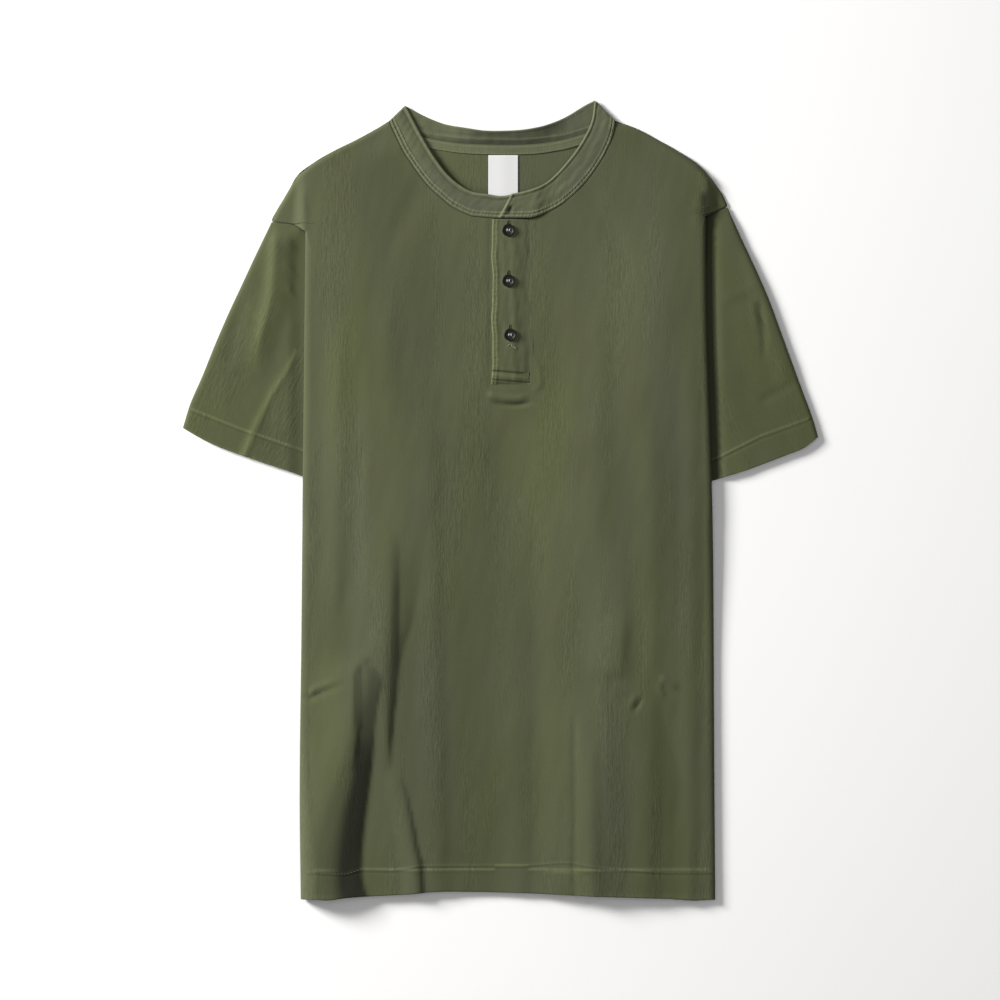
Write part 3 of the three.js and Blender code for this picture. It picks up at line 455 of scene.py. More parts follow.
LEFT = Side(-1, LEFT_SHOULDER, LEFT_FOLD, LEFT_TURN, LEFT_NECK, LEFT_CUFF, LEFT_SLEEVE_EDGE)
RIGHT = Side(1, RIGHT_SHOULDER, RIGHT_FOLD, RIGHT_TURN, RIGHT_NECK, RIGHT_CUFF, RIGHT_SLEEVE_EDGE)
back_neck_at = by_place(BACK_NECK)
hem_at = by_place(HEM_LINE)
hem_stitch_at = by_place(HEM_STITCH)


# Heights of the layers
def turn_height(side, x, y, run=CUFF_RUN):
    below_cuff = side.cuff_at(x) - y
    return 2 * LAYER * (1 - ease((below_cuff - CUFF_HOLD) / run))


def back_height(x, y, run=DRAPE_RUN, cuff_run=CUFF_RUN, rise_run=DRAPE_RUN):
    """Height of the underside of the back, which lies on what is turned under at both sides."""
    height = np.zeros(np.broadcast(x, y).shape)
    for side in (LEFT, RIGHT):
        level = np.minimum(y, side.top)
        inward = (side.turn_at(level) - x) * side.sign - DRAPE_HOLD
        outward = np.where(y > side.top, (x - side.fold_at(side.top)) * side.sign * PLEAT_STEEP, 0)
        above = np.maximum(0, y - side.top) * DRAPE_RUN / rise_run
        away = np.hypot(np.maximum(0, np.maximum(inward * DRAPE_RUN / run, outward)), above)
        height = height + (turn_height(side, x, y, cuff_run) + 2 * LAYER) * ease(1 - away / DRAPE_RUN)
    return height


def from_sides(x, y):
    left = x - np.where(y > LEFT.top, LEFT.shoulder_at(y), LEFT.fold_at(y))
    right = np.where(y > RIGHT.top, RIGHT.shoulder_at(y), RIGHT.fold_at(y)) - x
    return np.minimum(left, right)


def side_room(x, y, run):
    """Distance in from the side folds, which above their tops passes over to that from the shoulders."""
    rooms = []
    for side in (LEFT, RIGHT):
        over = ease((y - side.top) / run)
        edge = mix(side.fold_at(np.minimum(y, side.top)), side.shoulder_at(y), over)
        rooms.append((edge - x) * side.sign)
    return np.minimum(rooms[0], rooms[1])


def hem_relief(x, y):
    """The hem is two layers: a raised line where it is sewn, with a narrow groove under it."""
    over = y - HEM_SEAM_Y + 0 * x
    groove = 0.2 * ease(1 - np.abs(over + DITCH) / 1.6)
    return 0.15 * ease(-over / 2.5) + 0.34 * ease(1 - np.abs(over) / 1.9) - groove


def placket_relief(x, y):
    """The front is pressed a little flatter beside the placket."""
    beside = np.maximum(np.maximum(PLACKET_LEFT - x, x - PLACKET_RIGHT), PLACKET_FOOT - y)
    return -0.35 * ease(1 - np.abs(beside - 2.0) / 4.0) * ease((PLACKET_RIGHT - 4 - x) / 16)


def front_top(x, y):
    side = side_room(x, y, DETAIL_ROOM_RUN)
    inside = ease(side_room(x, y, LOFT_ROOM_RUN) / AIR_REACH)
    at_sides = ease((side - 1.0) / 9)
    waves = 0.28 * ripple(x, y, 4, 46, 3.2) + 0.10 * ripple(x, y, 9, 17, 3.0)
    detail = fold_height(BODY_FOLDS, x, y) + waves + placket_relief(x, y)
    loft = np.maximum(0.02, AIR * inside + detail * at_sides + lap_rise(x, y) * ease(side / 7))
    base = back_height(x, y, FRONT_RUN, FRONT_CUFF_RUN, FRONT_RISE_RUN) + LAYER + CLOTH
    return base + loft + hem_relief(x, y) * ease(side / 4)


def hem_wave(x, y):
    """Levels are moved so that the hem and its stitching follow their own lines."""
    drop = hem_at(x) - HEM_Y

    def waved(level):
        return level + drop * ease((HEM_WAVE_TOP - level) / (HEM_WAVE_TOP - HEM_Y))
    to_stitch = hem_stitch_at(x) - waved(HEM_SEAM_Y)
    return waved(y) + to_stitch * ease(1 - np.abs(y - HEM_SEAM_Y) / HEM_SEAM_REACH)


def in_scene(name, data):
    """A new object of the scene."""
    thing = bpy.data.objects.new(name, data)
    bpy.context.scene.collection.objects.link(thing)
    return thing


# Walls of cloth, made of blocks of paired outer and inner points
class Block:
    def __init__(self, outer, inner, grain=None, worn=None, deep=None):
        self.outer = np.asarray(outer, float)
        self.inner = np.asarray(inner, float)
        shape = self.outer.shape[:2]
        self.grain = self.outer[..., :2] if grain is None else np.asarray(grain, float)
        self.worn = np.zeros(shape) if worn is None else np.broadcast_to(worn, shape)
        self.deep = np.zeros(shape) if deep is None else np.broadcast_to(deep, shape)


def wall_object(name, blocks):
    """A closed shell. Rows of a block go up and its columns go right, seen from outside."""
    outer = np.concatenate([b.outer.reshape(-1, 3) for b in blocks])
    inner = np.concatenate([b.inner.reshape(-1, 3) for b in blocks])
    grain = np.concatenate([b.grain.reshape(-1, 2) for b in blocks])
    worn = np.concatenate([b.worn.reshape(-1) for b in blocks])
    deep = np.concatenate([b.deep.reshape(-1) for b in blocks])
    keys = np.round(outer, 3) + 0.0
    _, first, number = np.unique(keys, axis=0, return_index=True, return_inverse=True)
    number = number.reshape(-1)
    quads, start = [], 0
    for b in blocks:
        rows, columns = b.outer.shape[:2]
        index = number[start:start + rows * columns].reshape(rows, columns)
        start += rows * columns
        four = (index[:-1, :-1], index[:-1, 1:], index[1:, 1:], index[1:, :-1])
        quads += np.stack(four, -1).reshape(-1, 4).tolist()
    faces = []
    for quad in quads:
        corners = [c for i, c in enumerate(quad) if c != quad[i - 1]]
        if len(set(corners)) == len(corners) and len(corners) >= 3:
            faces.append(corners)
    count = len(first)
    edges = {(a, b) for f in faces for a, b in zip(f, f[1:] + f[:1])}
    rim = [(a, b) for a, b in edges if (b, a) not in edges]
    everything = faces + [[c + count for c in reversed(f)] for f in faces]
    everything += [[b, a, a + count, b + count] for a, b in rim]
    points = np.concatenate([outer[first], inner[first]]) * MM
    mesh = bpy.data.meshes.new(name)
    mesh.from_pydata(points.tolist(), [], everything)
    finish_mesh(mesh, np.concatenate([grain[first]] * 2) * MM,
                np.concatenate([worn[first]] * 2), np.concatenate([deep[first]] * 2))
    return in_scene(name, mesh)


def finish_mesh(mesh, grain, worn, deep):
    """Smooth faces, a map that follows the grain of the cloth, and masks for wear with painted highlights and
    for painted shade.
    """
    mesh.polygons.foreach_set("use_smooth", [True] * len(mesh.polygons))
    corner = np.zeros(len(mesh.loops), int)
    mesh.loops.foreach_get("vertex_index", corner)
    layer = mesh.uv_layers.new(name="grain")
    layer.data.foreach_set("uv", grain[corner].reshape(-1))
    for label, values in (("worn", worn), ("deep", deep)):
        mask = mesh.attributes.new(label, "FLOAT", "POINT")
        mask.data.foreach_set("value", values)
    mesh.update()


def rounded(distance, radius):
    """Share of the height of a rounded edge at a distance from it: 0 at the edge and 1 past the radius."""
    return np.sqrt(np.clip(1 - (1 - np.clip(distance / radius, 0, 1)) ** 2, 0, 1))


def steps_with_edges(length, step, fine=(0, 0.4, 0.9, 1.6, 2.6, 4.0)):
    """Distances along a length, closer together at both ends."""
    middle = np.arange(fine[-1] + step * 0.8, length - fine[-1] - step * 0.5, step)
    return np.unique(np.round(np.concatenate([fine, middle, length - np.array(fine)]), 4))


# The two body panels
class Body:
    """Shape shared by front and back: sections from the turned edge, round the fold, to the middle."""

    def __init__(self, inset, roll, top_at, columns, arc, under):
        self.inset, self.roll, self.top_at = inset, roll, top_at
        self.columns, self.arc, self.under = columns, arc, under

    def fold_x(self, side, y):
        return side.fold_at(y) - side.sign * self.inset

    def roll_at(self, side, y, upper=True):
        """Half width of a side fold; its upper half may open out wider than its lower half."""
        wider = side.roll_gain(y) if upper and side.roll_gain else 0
        return mix(1.4, self.roll + wider, ease((side.top - y) / 16))

    def edge_x(self, side, y):
        rolled = self.fold_x(side, y) - side.sign * self.roll_at(side, y)
        return np.where(y > side.top, side.shoulder_at(y), rolled)

    def main(self, side, rows, middle, edge_shape):
        """The level part of one half, from its outer edge to the middle."""
        y = rows[:, None]
        edge = self.edge_x(side, y)
        share = (self.columns[side.sign] / self.columns[side.sign][-1])[None, :]
        x = mix(edge, middle[:, None], share)
        y = np.broadcast_to(y, x.shape)
        z, wall = edge_shape(side, x, y, self.top_at(x, y))
        wy = hem_wave(x, y)
        outer = np.stack([x, wy, z], -1)
        inner = np.stack([x, wy, z - wall], -1)
        return outer, inner

    def turned(self, side, rows):
        """The fold and the cloth turned under below it, ending at the first column of the level part."""
        y = rows[:, None]
        fold = self.fold_x(side, y)
        turn = np.linspace(-math.pi / 2, math.pi / 2, self.arc)[None, :]
        roll = np.where(turn > 0, self.roll_at(side, y), self.roll_at(side, y, upper=False))
        centre = fold - side.sign * roll[:, -1:]
        low_centre = fold - side.sign * roll[:, :1]
        low = turn_height(side, fold, y) + self.inset
        top = self.top_at(centre, y)
        low_half = np.minimum((top - low) / 2, SIDE_HALF)
        half = np.where(turn > 0, top - low - low_half, low_half)
        end = side.turn_at(y)
        share = np.linspace(0, 1, self.under)[None, :-1]
        x_under = mix(end, low_centre, share)
        z_under = turn_height(side, x_under, y) + self.inset
        under = np.stack([x_under, np.broadcast_to(y, x_under.shape), z_under], -1)
        under_in = under + np.array([0, 0, CLOTH])

        def place(inset):
            x = fold - side.sign * (roll - np.maximum(roll - inset, 0.2) * np.cos(turn))
            z = low + low_half + (half - inset) * np.sin(turn)
            return np.stack([x, np.broadcast_to(y, x.shape), z], -1)
        outer = np.concatenate([under, place(0)], axis=1)
        inner = np.concatenate([under_in, place(CLOTH)], axis=1)
        inside = np.clip((centre - outer[..., 0]) * side.sign / 8, 0, 1)
        tuck = HEM_TUCK * inside * ease((HEM_WAVE_TOP - outer[..., 1]) / HEM_TUCK_RUN)
        edge_y = hem_wave(centre, y)
        for points in (outer, inner):
            points[..., 1] = mix(edge_y, hem_wave(points[..., 0], points[..., 1]), inside) + tuck
        return outer, inner


def ordered(side, outer, inner, **more):
    """Columns run left to right whichever side of the shirt a block is on."""
    if side.sign > 0:
        outer, inner = outer[:, ::-1], inner[:, ::-1]
        more = {k: v[:, ::-1] for k, v in more.items()}
    return Block(outer, inner, **more)


def turned_grain(side, outer):
    """The grain runs on round a side fold: distance is measured along the section."""
    step = np.linalg.norm(np.diff(outer[..., [0, 2]], axis=1), axis=-1)
    back = np.concatenate([np.cumsum(step[:, ::-1], axis=1)[:, ::-1], np.zeros((len(outer), 1))], axis=1)
    u = outer[:, -1:, 0] + side.sign * back
    return np.stack([u, outer[..., 1]], -1)


FRONT_ROWS = np.unique(np.round(np.concatenate([
    HEM_Y + np.array([0, 0.5, 1.2, 2.2, 3.6]), np.arange(HEM_Y + 6, HEM_SEAM_Y - 5, 2.9),
    HEM_SEAM_Y + np.array([-4.4, -3.4, -2.4, -1.6, -0.8, 0, 0.8, 1.6, 2.6]),
    np.arange(HEM_SEAM_Y + 5, 77, 3.0), np.arange(78, 97, 1.2), np.arange(98, 232, 3.0),
    np.arange(235, 246.8, 1.3), [235, 242.0, 243.0, 244.5, NECK_FRONT_Y, 248.2, 249.0],
    np.arange(250.4, NECK_POINT_Y - 1.5, 2.4), [PLACKET_FOOT, NECK_POINT_Y]]), 3))


def seam_distance(side, x, y):
    return line_distance(side.shoulder_line, x, y)[0]


def neck_distance(x, y):
    seam = [(px, py) for py, px in LEFT_NECK] + [(PLACKET_RIGHT, NECK_FRONT_Y)] + [
        (px, py) for py, px in reversed(RIGHT_NECK)]
    return line_distance(seam, x, y)[0]


def front_panel():
    columns = {-1: steps_with_edges(162, 2.5), 1: steps_with_edges(155, 2.5)}
    body = Body(0.0, FOLD_ROLL, front_top, columns, 15, 8)

    def edge_shape(side, x, y, z):
        # Over the shoulder the front rolls down onto the surface, and at a seam it dips
        shoulder = seam_distance(side, x, y)
        above = y > side.top
        over = ease((y - side.top - 6) / 8)
        radius = mix(SEAM_RADIUS, SHOULDER_RADIUS, over)
        share = np.where(above, rounded(shoulder, radius), 1)
        low = mix(z - SEAM_DROP, SHOULDER_LOW, over)
        z_top = mix(low, z, share)
        neck = np.where(y > NECK_FRONT_Y - NECK_REACH, neck_distance(x, y), FAR)
        z_top = z_top - EDGE_DIP * (1 - rounded(neck, EDGE_ROUND))
        hem = y - HEM_Y
        z_top = z_top - EDGE_DIP * (1 - rounded(hem, EDGE_ROUND))
        wall = CLOTH * np.clip(0.25 + 0.75 * share, 0, 1) - 0.25 * (1 - rounded(hem, EDGE_ROUND))
        z_top = np.maximum(z_top, LEAST_TOP)
        return z_top, np.minimum(wall, np.maximum(z_top - 0.12, 0.15))

    blocks = []
    rows = FRONT_ROWS
    open_neck = rows > NECK_FRONT_Y
    middles = {}
    for side, level in ((LEFT, PLACKET_LEFT), (RIGHT, PLACKET_RIGHT)):
        middle = np.where(open_neck, side.neck_at(rows), level)
        outer, inner = body.main(side, rows, middle, edge_shape)
        x, y = outer[..., 0], outer[..., 1]
        worn, deep = front_masks(side, x, y)
        blocks.append(ordered(side, outer, inner, worn=worn, deep=deep))
        middles[side.sign] = (outer, inner)
        low = rows[rows <= side.top]
        t_outer, t_inner = body.turned(side, low)
        t_outer[:, -1] = outer[:len(low), 0]
        t_inner[:, -1] = inner[:len(low), 0]
        grain = turned_grain(side, t_outer)
        # The side that turns away from the light is darker, down in the gap beside the sleeve
        away = np.clip((t_outer[..., 0] - side.fold_at(low)[:, None]) * side.sign / 2.6 + 1, 0, 1)
        t_deep = GAP_SHADE * ease(away) if side is RIGHT else np.zeros(t_outer.shape[:2])
        blocks.append(ordered(side, t_outer, t_inner, grain=grain, deep=t_deep))
    low = rows[rows <= PLACKET_FOOT]
    share = np.linspace(0, 1, 12)[None, :]
    x = mix(PLACKET_LEFT, PLACKET_RIGHT, share) + 0 * low[:, None]
    y = np.broadcast_to(low[:, None], x.shape)
    z, wall = edge_shape(LEFT, x, y, front_top(x, y))
    wy = hem_wave(x, y)
    outer, inner = np.stack([x, wy, z], -1), np.stack([x, wy, z - wall], -1)
    outer[:, 0], inner[:, 0] = (m[:len(low), -1] for m in middles[-1])
    outer[:, -1], inner[:, -1] = (m[:len(low), -1] for m in middles[1])
    worn, deep = front_masks(LEFT, x, y)
    blocks.append(Block(outer, inner, worn=worn, deep=deep))
    return wall_object("front_cloth", blocks)


def front_masks(side, x, y):
    """Paler wear and painted highlights on edges and seams; painted shade down in the seams, creases and
    folds and in wide darker patches.
    """
    neck = neck_distance(x, y)
    seam = np.where(y > side.top - 1, seam_distance(side, x, y), FAR)
    over = y - HEM_SEAM_Y
    worn = 0.2 * ease(1 - (y - HEM_Y) / 3.0) + 0.75 * ease(1 - np.abs(over - 0.2) / 1.9)
    worn = worn + 0.1 * ease(1 - np.abs(seam - 1.5) / 3) + 0.2 * ease(1 - np.abs(from_sides(x, y) - 1) / 4)
    # Painted shade in the neck and hem ditches, under the armhole seam (mostly on the shaded right), down the
    # laps, in the creases and in the patches
    deep = 0.15 * ease(1 - neck / 1.6) + 0.25 * ease(1 - np.abs(over + DITCH) / 1.3)
    below_tip = np.where(side is LEFT, 0.05, 0.45)
    deep = deep + below_tip * ease(1 - seam / 1.4) * (y < side.top + 14)
    deep = deep + lap_shade(x, y) + crease_shade(x, y)
    return np.clip(worn, 0, 1), np.clip(deep, 0, 1)


def back_panel():
    rows = np.unique(np.concatenate([np.arange(HEM_Y, 232, 6.0), np.arange(235, NECK_POINT_Y, 3.0),
                                     [PLACKET_FOOT, NECK_FRONT_Y, 249.0, NECK_POINT_Y]]))
    columns = {-1: np.concatenate([[0, 2, 4.5], np.linspace(9, 162, 26)]),
               1: np.concatenate([[0, 2, 4.5], np.linspace(9, 155, 25)])}

    def top_at(x, y):
        inside = ease((from_sides(x, y) - 4) / 30)
        sag = 0.14 * np.maximum(0, ripple(x, y, 21, 60, 2.0)) * inside
        return back_height(x, y) + CLOTH + sag * ease((y - 150) / 30)

    body = Body(LAYER, FOLD_ROLL - LAYER, top_at, columns, 9, 5)

    def edge_shape(side, x, y, z):
        return z, np.full(np.shape(z), CLOTH)

    blocks, edges = [], []
    for side, level in ((LEFT, PLACKET_LEFT), (RIGHT, PLACKET_RIGHT)):
        middle = np.where(rows > NECK_FRONT_Y, side.neck_at(rows), level)
        # Above the fold the back stops short of the edge, which the front rolls over
        inset = np.where(rows > side.top + 8, 2.2, 0.4) * (rows > side.top)
        outer, inner = body.main(side, rows, middle, edge_shape)
        short = HEM_TUCK * ease((HEM_WAVE_TOP - rows) / HEM_TUCK_RUN)[:, None]
        outer[:, 1:, 1] += short
        inner[:, 1:, 1] += short
        shift = -side.sign * inset[:, None] * (1 - np.linspace(0, 1, outer.shape[1]))[None, :]
        outer[..., 0] += shift
        inner[..., 0] += shift
        blocks.append(ordered(side, outer, inner))
        low = rows[rows <= side.top]
        t_outer, t_inner = body.turned(side, low)
        t_outer[:, -1], t_inner[:, -1] = outer[:len(low), 0], inner[:len(low), 0]
        blocks.append(ordered(side, t_outer, t_inner, grain=turned_grain(side, t_outer)))
        edges.append((outer[:, -1], inner[:, -1]))
    left_edge, right_edge = edges
    low = rows <= NECK_FRONT_Y
    share = np.linspace(0, 1, 7)[None, :]
    x = mix(PLACKET_LEFT, PLACKET_RIGHT, share) + 0 * rows[low][:, None]
    y = np.broadcast_to(rows[low][:, None], x.shape)
    z = top_at(x, y)
    wy = hem_wave(x, y) + HEM_TUCK * ease((HEM_WAVE_TOP - y) / HEM_TUCK_RUN)
    outer, inner = np.stack([x, wy, z], -1), np.stack([x, wy, z - CLOTH], -1)
    outer[:, 0], inner[:, 0] = left_edge[0][low], left_edge[1][low]
    outer[:, -1], inner[:, -1] = right_edge[0][low], right_edge[1][low]
    blocks.append(Block(outer, inner))
    # The part inside the neck, between the front's neckline and the back's own
    up = rows >= NECK_FRONT_Y
    bottom = np.concatenate([left_edge[0][up][::-1], outer[-1, 1:-1], right_edge[0][up]])
    bottom_in = np.concatenate([left_edge[1][up][::-1], inner[-1, 1:-1], right_edge[1][up]])
    t = np.linspace(0, 1, len(bottom))
    top_x = mix(bottom[0, 0], bottom[-1, 0], (ease(t) + t) / 2)
    rise = np.linspace(0, 1, 20)[:, None]
    x = mix(bottom[None, :, 0], top_x[None, :], rise)
    y = mix(bottom[None, :, 1], back_neck_at(top_x)[None, :], rise)
    z = top_at(x, y)
    outer, inner = np.stack([x, y, z], -1), np.stack([x, y, z - CLOTH], -1)
    outer[0], inner[0] = bottom, bottom_in
    edge = back_neck_at(x) - y
    front_near = neck_distance(x, y)
    # Painted shade along the back's neck edge under the band, and on the back inside the neck beside the
    # front's neckline
    deep = 0.6 * ease(1 - edge / 2.5) + 0.35 * ease(1 - (front_near - 20) / 8) * (y < NECK_MIDDLE_Y)
    blocks.append(Block(outer, inner, deep=np.clip(deep, 0, 1)))
    return wall_object("back_cloth", blocks)


# Sleeves
SEAM_CLEAR = 0.12           # clear space beside the armhole seam
SLEEVE_ROLL = 4.2           # half width of the rounded outer fold of a sleeve
SLEEVE_COLUMNS = 62
CUFF_DIP = 0.45             # how far the cloth comes down at the edge of a cuff
CUFF_ROUND = 1.3            # and the radius of that edge
SLEEVE_GRAIN = 0.38         # the grain leans out with the outer fold
GAP_SHADE = 0.65            # how dark the painted shadow is down in the gap between the body and the right sleeve
GAP_REACH = 9.4             # and how far out onto the sleeve this goes


def armhole_of(side):
    """The seam that shows, from the shoulder tip to the side fold, then the part under the body."""
    seen = np.linspace(side.sleeve_top, side.top, 24)
    shown = np.stack([side.shoulder_at(seen) + side.sign * SEAM_CLEAR / 2, seen - SEAM_CLEAR], 1)
    under = np.linspace(side.top - 4, UNDERARM_Y, 30)
    return shown, np.stack([side.turn_at(under), under], 1)


def sleeve_top(side, x, y):
    """Height of the upper layer of a sleeve."""
    out = (x - side.fold_at(np.minimum(y, side.top))) * side.sign
    shows = ease((out - 1) / 14)
    from_seam = ease((side.sleeve_top - y) / 20)
    seam_y = np.minimum(side.sleeve_top, side.top + out * 0.3)
    fade = ease((out - 2) / 9) * ease(1 - (seam_y - y) / 12)
    waves = 0.22 * ripple(x, y, 31 + side.sign, 34, 1.8) + 0.1 * ripple(x, y, 41 + side.sign, 13, 2.0)
    detail = fold_height(SLEEVE_FOLDS, x, y) + waves
    loft = shows * from_seam * np.maximum(AIR + detail, 0.1)
    far, below = cuff_stitch_distance(side, x, y)
    relief = 0.15 * below + 0.3 * ease(1 - far / 1.8)
    relief = relief - 0.35 * ease(1 - np.abs(far - DITCH) / 1.6) * (below > 0)
    return LAYER + CLOTH + loft + fade * back_height(x, seam_y + 2) + relief * shows


def cuff_stitch_distance(side, x, y):
    """Distance to the stitching of a cuff, and 1 below it, towards the cuff."""
    far, _, hand, _ = line_distance(side.cuff_stitch, x, y)
    toward_cuff = hand * side.sign > 0
    return far, np.where(toward_cuff, ease(far / 2.5), 0)


def sleeve(side, name):
    shown, hidden = armhole_of(side)
    arm = even_steps(np.concatenate([shown, hidden]), SLEEVE_COLUMNS)
    cuff = curve_through(side.cuff, SLEEVE_COLUMNS)
    v = np.unique(np.concatenate([np.linspace(0, 0.8, 52), np.linspace(0.805, 0.97, 34), [0.004, 0.01],
                                  [0.978, 0.986, 0.993, 0.998, 1.0]]))
    out_y = mix(arm[0, 1], side.sleeve_foot, v)
    outside = np.stack([side.sleeve_edge_at(out_y), out_y], 1)
    outside[0] = arm[0]
    inside = arm[-1] + (cuff[-1] - arm[-1]) * v[:, None]
    down, across = v[:, None, None], np.linspace(0, 1, SLEEVE_COLUMNS)[None, :, None]
    corners = mix(mix(arm[0], arm[-1], across), mix(cuff[0], cuff[-1], across), down)
    patch = mix(arm[None], cuff[None], down) + mix(outside[:, None], inside[:, None], across) - corners
    # Each row of the patch stops short of its ends by the width of the rounded folds
    plan = []
    for row, roll in zip(patch, np.minimum(SLEEVE_ROLL, 0.6 + 40 * v)):
        length = lengths_along(row)
        want = np.linspace(roll, length[-1] - roll, SLEEVE_COLUMNS)
        plan.append(np.stack([np.interp(want, length, row[:, k]) for k in range(2)], 1))
    plan = np.array(plan)
    x, y = plan[..., 0], plan[..., 1]
    cuff_line = [*cuff[::6], cuff[-1]]
    cuff_far, seam_far = line_distance(cuff_line, x, y)[0], line_distance(shown, x, y)[0]
    top = sleeve_top(side, x, y) - CUFF_DIP * (1 - rounded(cuff_far, CUFF_ROUND))
    top = top - EDGE_DIP * (1 - rounded(seam_far, EDGE_ROUND))

    def bend(base, tip, height, inset):
        reach = tip - base
        width = np.linalg.norm(reach, axis=1, keepdims=True)
        half = height / 2
        points = []
        for angle in np.linspace(math.pi / 2, -math.pi / 2, 9)[1:-1]:
            flat = base + reach / width * np.maximum(width - inset, 0.05) * math.cos(angle)
            z = half + (half - inset) * math.sin(angle)
            points.append(np.concatenate([flat, z[:, None]], axis=1))
        return np.stack(points, 1)

    def ring(inset):
        upper = np.stack([x, y, top - inset], -1)
        lower = np.stack([x, y, np.full(x.shape, inset)], -1)
        inner_bend = bend(plan[:, -1], inside, top[:, -1], inset)
        outer_bend = bend(plan[:, 0], outside, top[:, 0], inset)
        return np.concatenate([upper, inner_bend, lower[:, ::-1], outer_bend[:, ::-1], upper[:, :1]], axis=1)

    outer, inner = ring(0.0), ring(CLOTH)
    ox, oy = outer[..., 0], outer[..., 1]
    lean, upright = side.sign * SLEEVE_GRAIN, math.sqrt(1 - SLEEVE_GRAIN**2)
    grain = np.stack([ox * upright + oy * lean, ox * lean - oy * upright], -1)
    stitch_far, below = cuff_stitch_distance(side, ox, oy)
    cuff_far, seam_far = line_distance(cuff_line, ox, oy)[0], line_distance(shown, ox, oy)[0]
    worn = 0.3 * ease(1 - cuff_far / 3) + 0.7 * ease(1 - stitch_far / 1.8)
    # On the left sleeve, painted highlights along the crisp ridge and the broad crest, where the light
    # catches them
    if side is LEFT:
        crisp_far, crisp_share, _, _ = line_distance(SLEEVE_FOLDS[1][1], ox, oy)
        worn = worn + 0.8 * ease(1 - crisp_far / mix(2.6, 4.2, crisp_share))
        crest_far, crest_share, _, _ = line_distance(SLEEVE_FOLDS[2][1], ox + 2, oy)
        worn = worn + 0.35 * ease(1 - crest_far / 6) * ease((1 - crest_share) / 0.4)
    # Painted shade in the cuff's groove, in the right sleeve's creases, along the armhole seam and, on the
    # right, the body's shadow in the gap
    deep = 0.25 * ease(1 - np.abs(stitch_far - DITCH) / 1.3) * (below > 0)
    deep = deep + crease_shade(ox, oy) * (side is RIGHT)
    deep = deep + np.where(side is LEFT, 0.05, 0.5) * ease(1 - seam_far / 1.8)
    if side is RIGHT:
        out = ox - side.fold_at(oy)
        deep = deep + GAP_SHADE * ease((GAP_REACH - out) / 1.8)
    turn = slice(None, None, -1) if side.sign < 0 else slice(None)
    block = Block(outer[turn], inner[turn], grain=grain[turn], worn=np.clip(worn, 0, 1)[turn],
                  deep=np.clip(deep, 0, 1)[turn])
    return wall_object(name, [block])


# Strips: the neckband, its tape, the placket and the label
BAND = 1.6                  # the neckband is two layers pressed together
BAND_SEAM = 0.2             # clear space beside the neckline
REAR_SEAM = -0.15           # the back of the band meets the back's neckline with no gap
REAR_RISE = 6.0             # its free edge is this much higher than its seam
REAR_ENDS = (-55, 62)       # but level with it at both ends, past these places
REAR_RISE_RUN = 35.0
BAND_RIDGES = (1.9, 5.0)    # the two rows of stitching, measured from the seam
TAPE = {"from": -74, "to": 82, "width": 8.6, "thickness": 0.8}
LABEL = {"left": -10.6, "right": 15.4, "foot": 258, "thickness": 0.5, "corner": 2.0}
PLACKET_LAP = {"left": 0.8, "right": 3.6, "foot": 2.2}
FLUSH = CLOTH + GAP + 0.12  # the sewn side and foot of the placket come down level with the front
FLUSH_RUN = 21.0            # over this distance from its right side
FOOT_RUN = 5.0              # and this one from its foot
BOX_TURN = (24.8, 3.9)      # where the sewn box ends in a round turn, and its radius
PLACKET_STITCH = 2.4        # distance of the placket's stitching from its free edge
PLACKET_SEWN = (104, 244)   # the levels between which that stitching runs


def moved_aside(points, distance):
    """The points of a line moved to its left."""
    points = np.asarray(points, float)
    along = np.gradient(points, axis=0)
    along /= np.linalg.norm(along, axis=1, keepdims=True)
    return points + distance * np.stack([-along[:, 1], along[:, 0]], 1)


def neck_seam_points():
    rows = FRONT_ROWS[FRONT_ROWS > NECK_FRONT_Y]
    left = [(LEFT.neck_at(y), y) for y in rows[::-1]]
    foot = [(x, NECK_FRONT_Y) for x in np.linspace(PLACKET_LEFT, PLACKET_RIGHT, 8)]
    right = [(RIGHT.neck_at(y), y) for y in rows]
    return moved_aside(np.array(left + foot + right, float), BAND_SEAM)


def bump(d, width):
    return ease(1 - np.abs(d) / width)


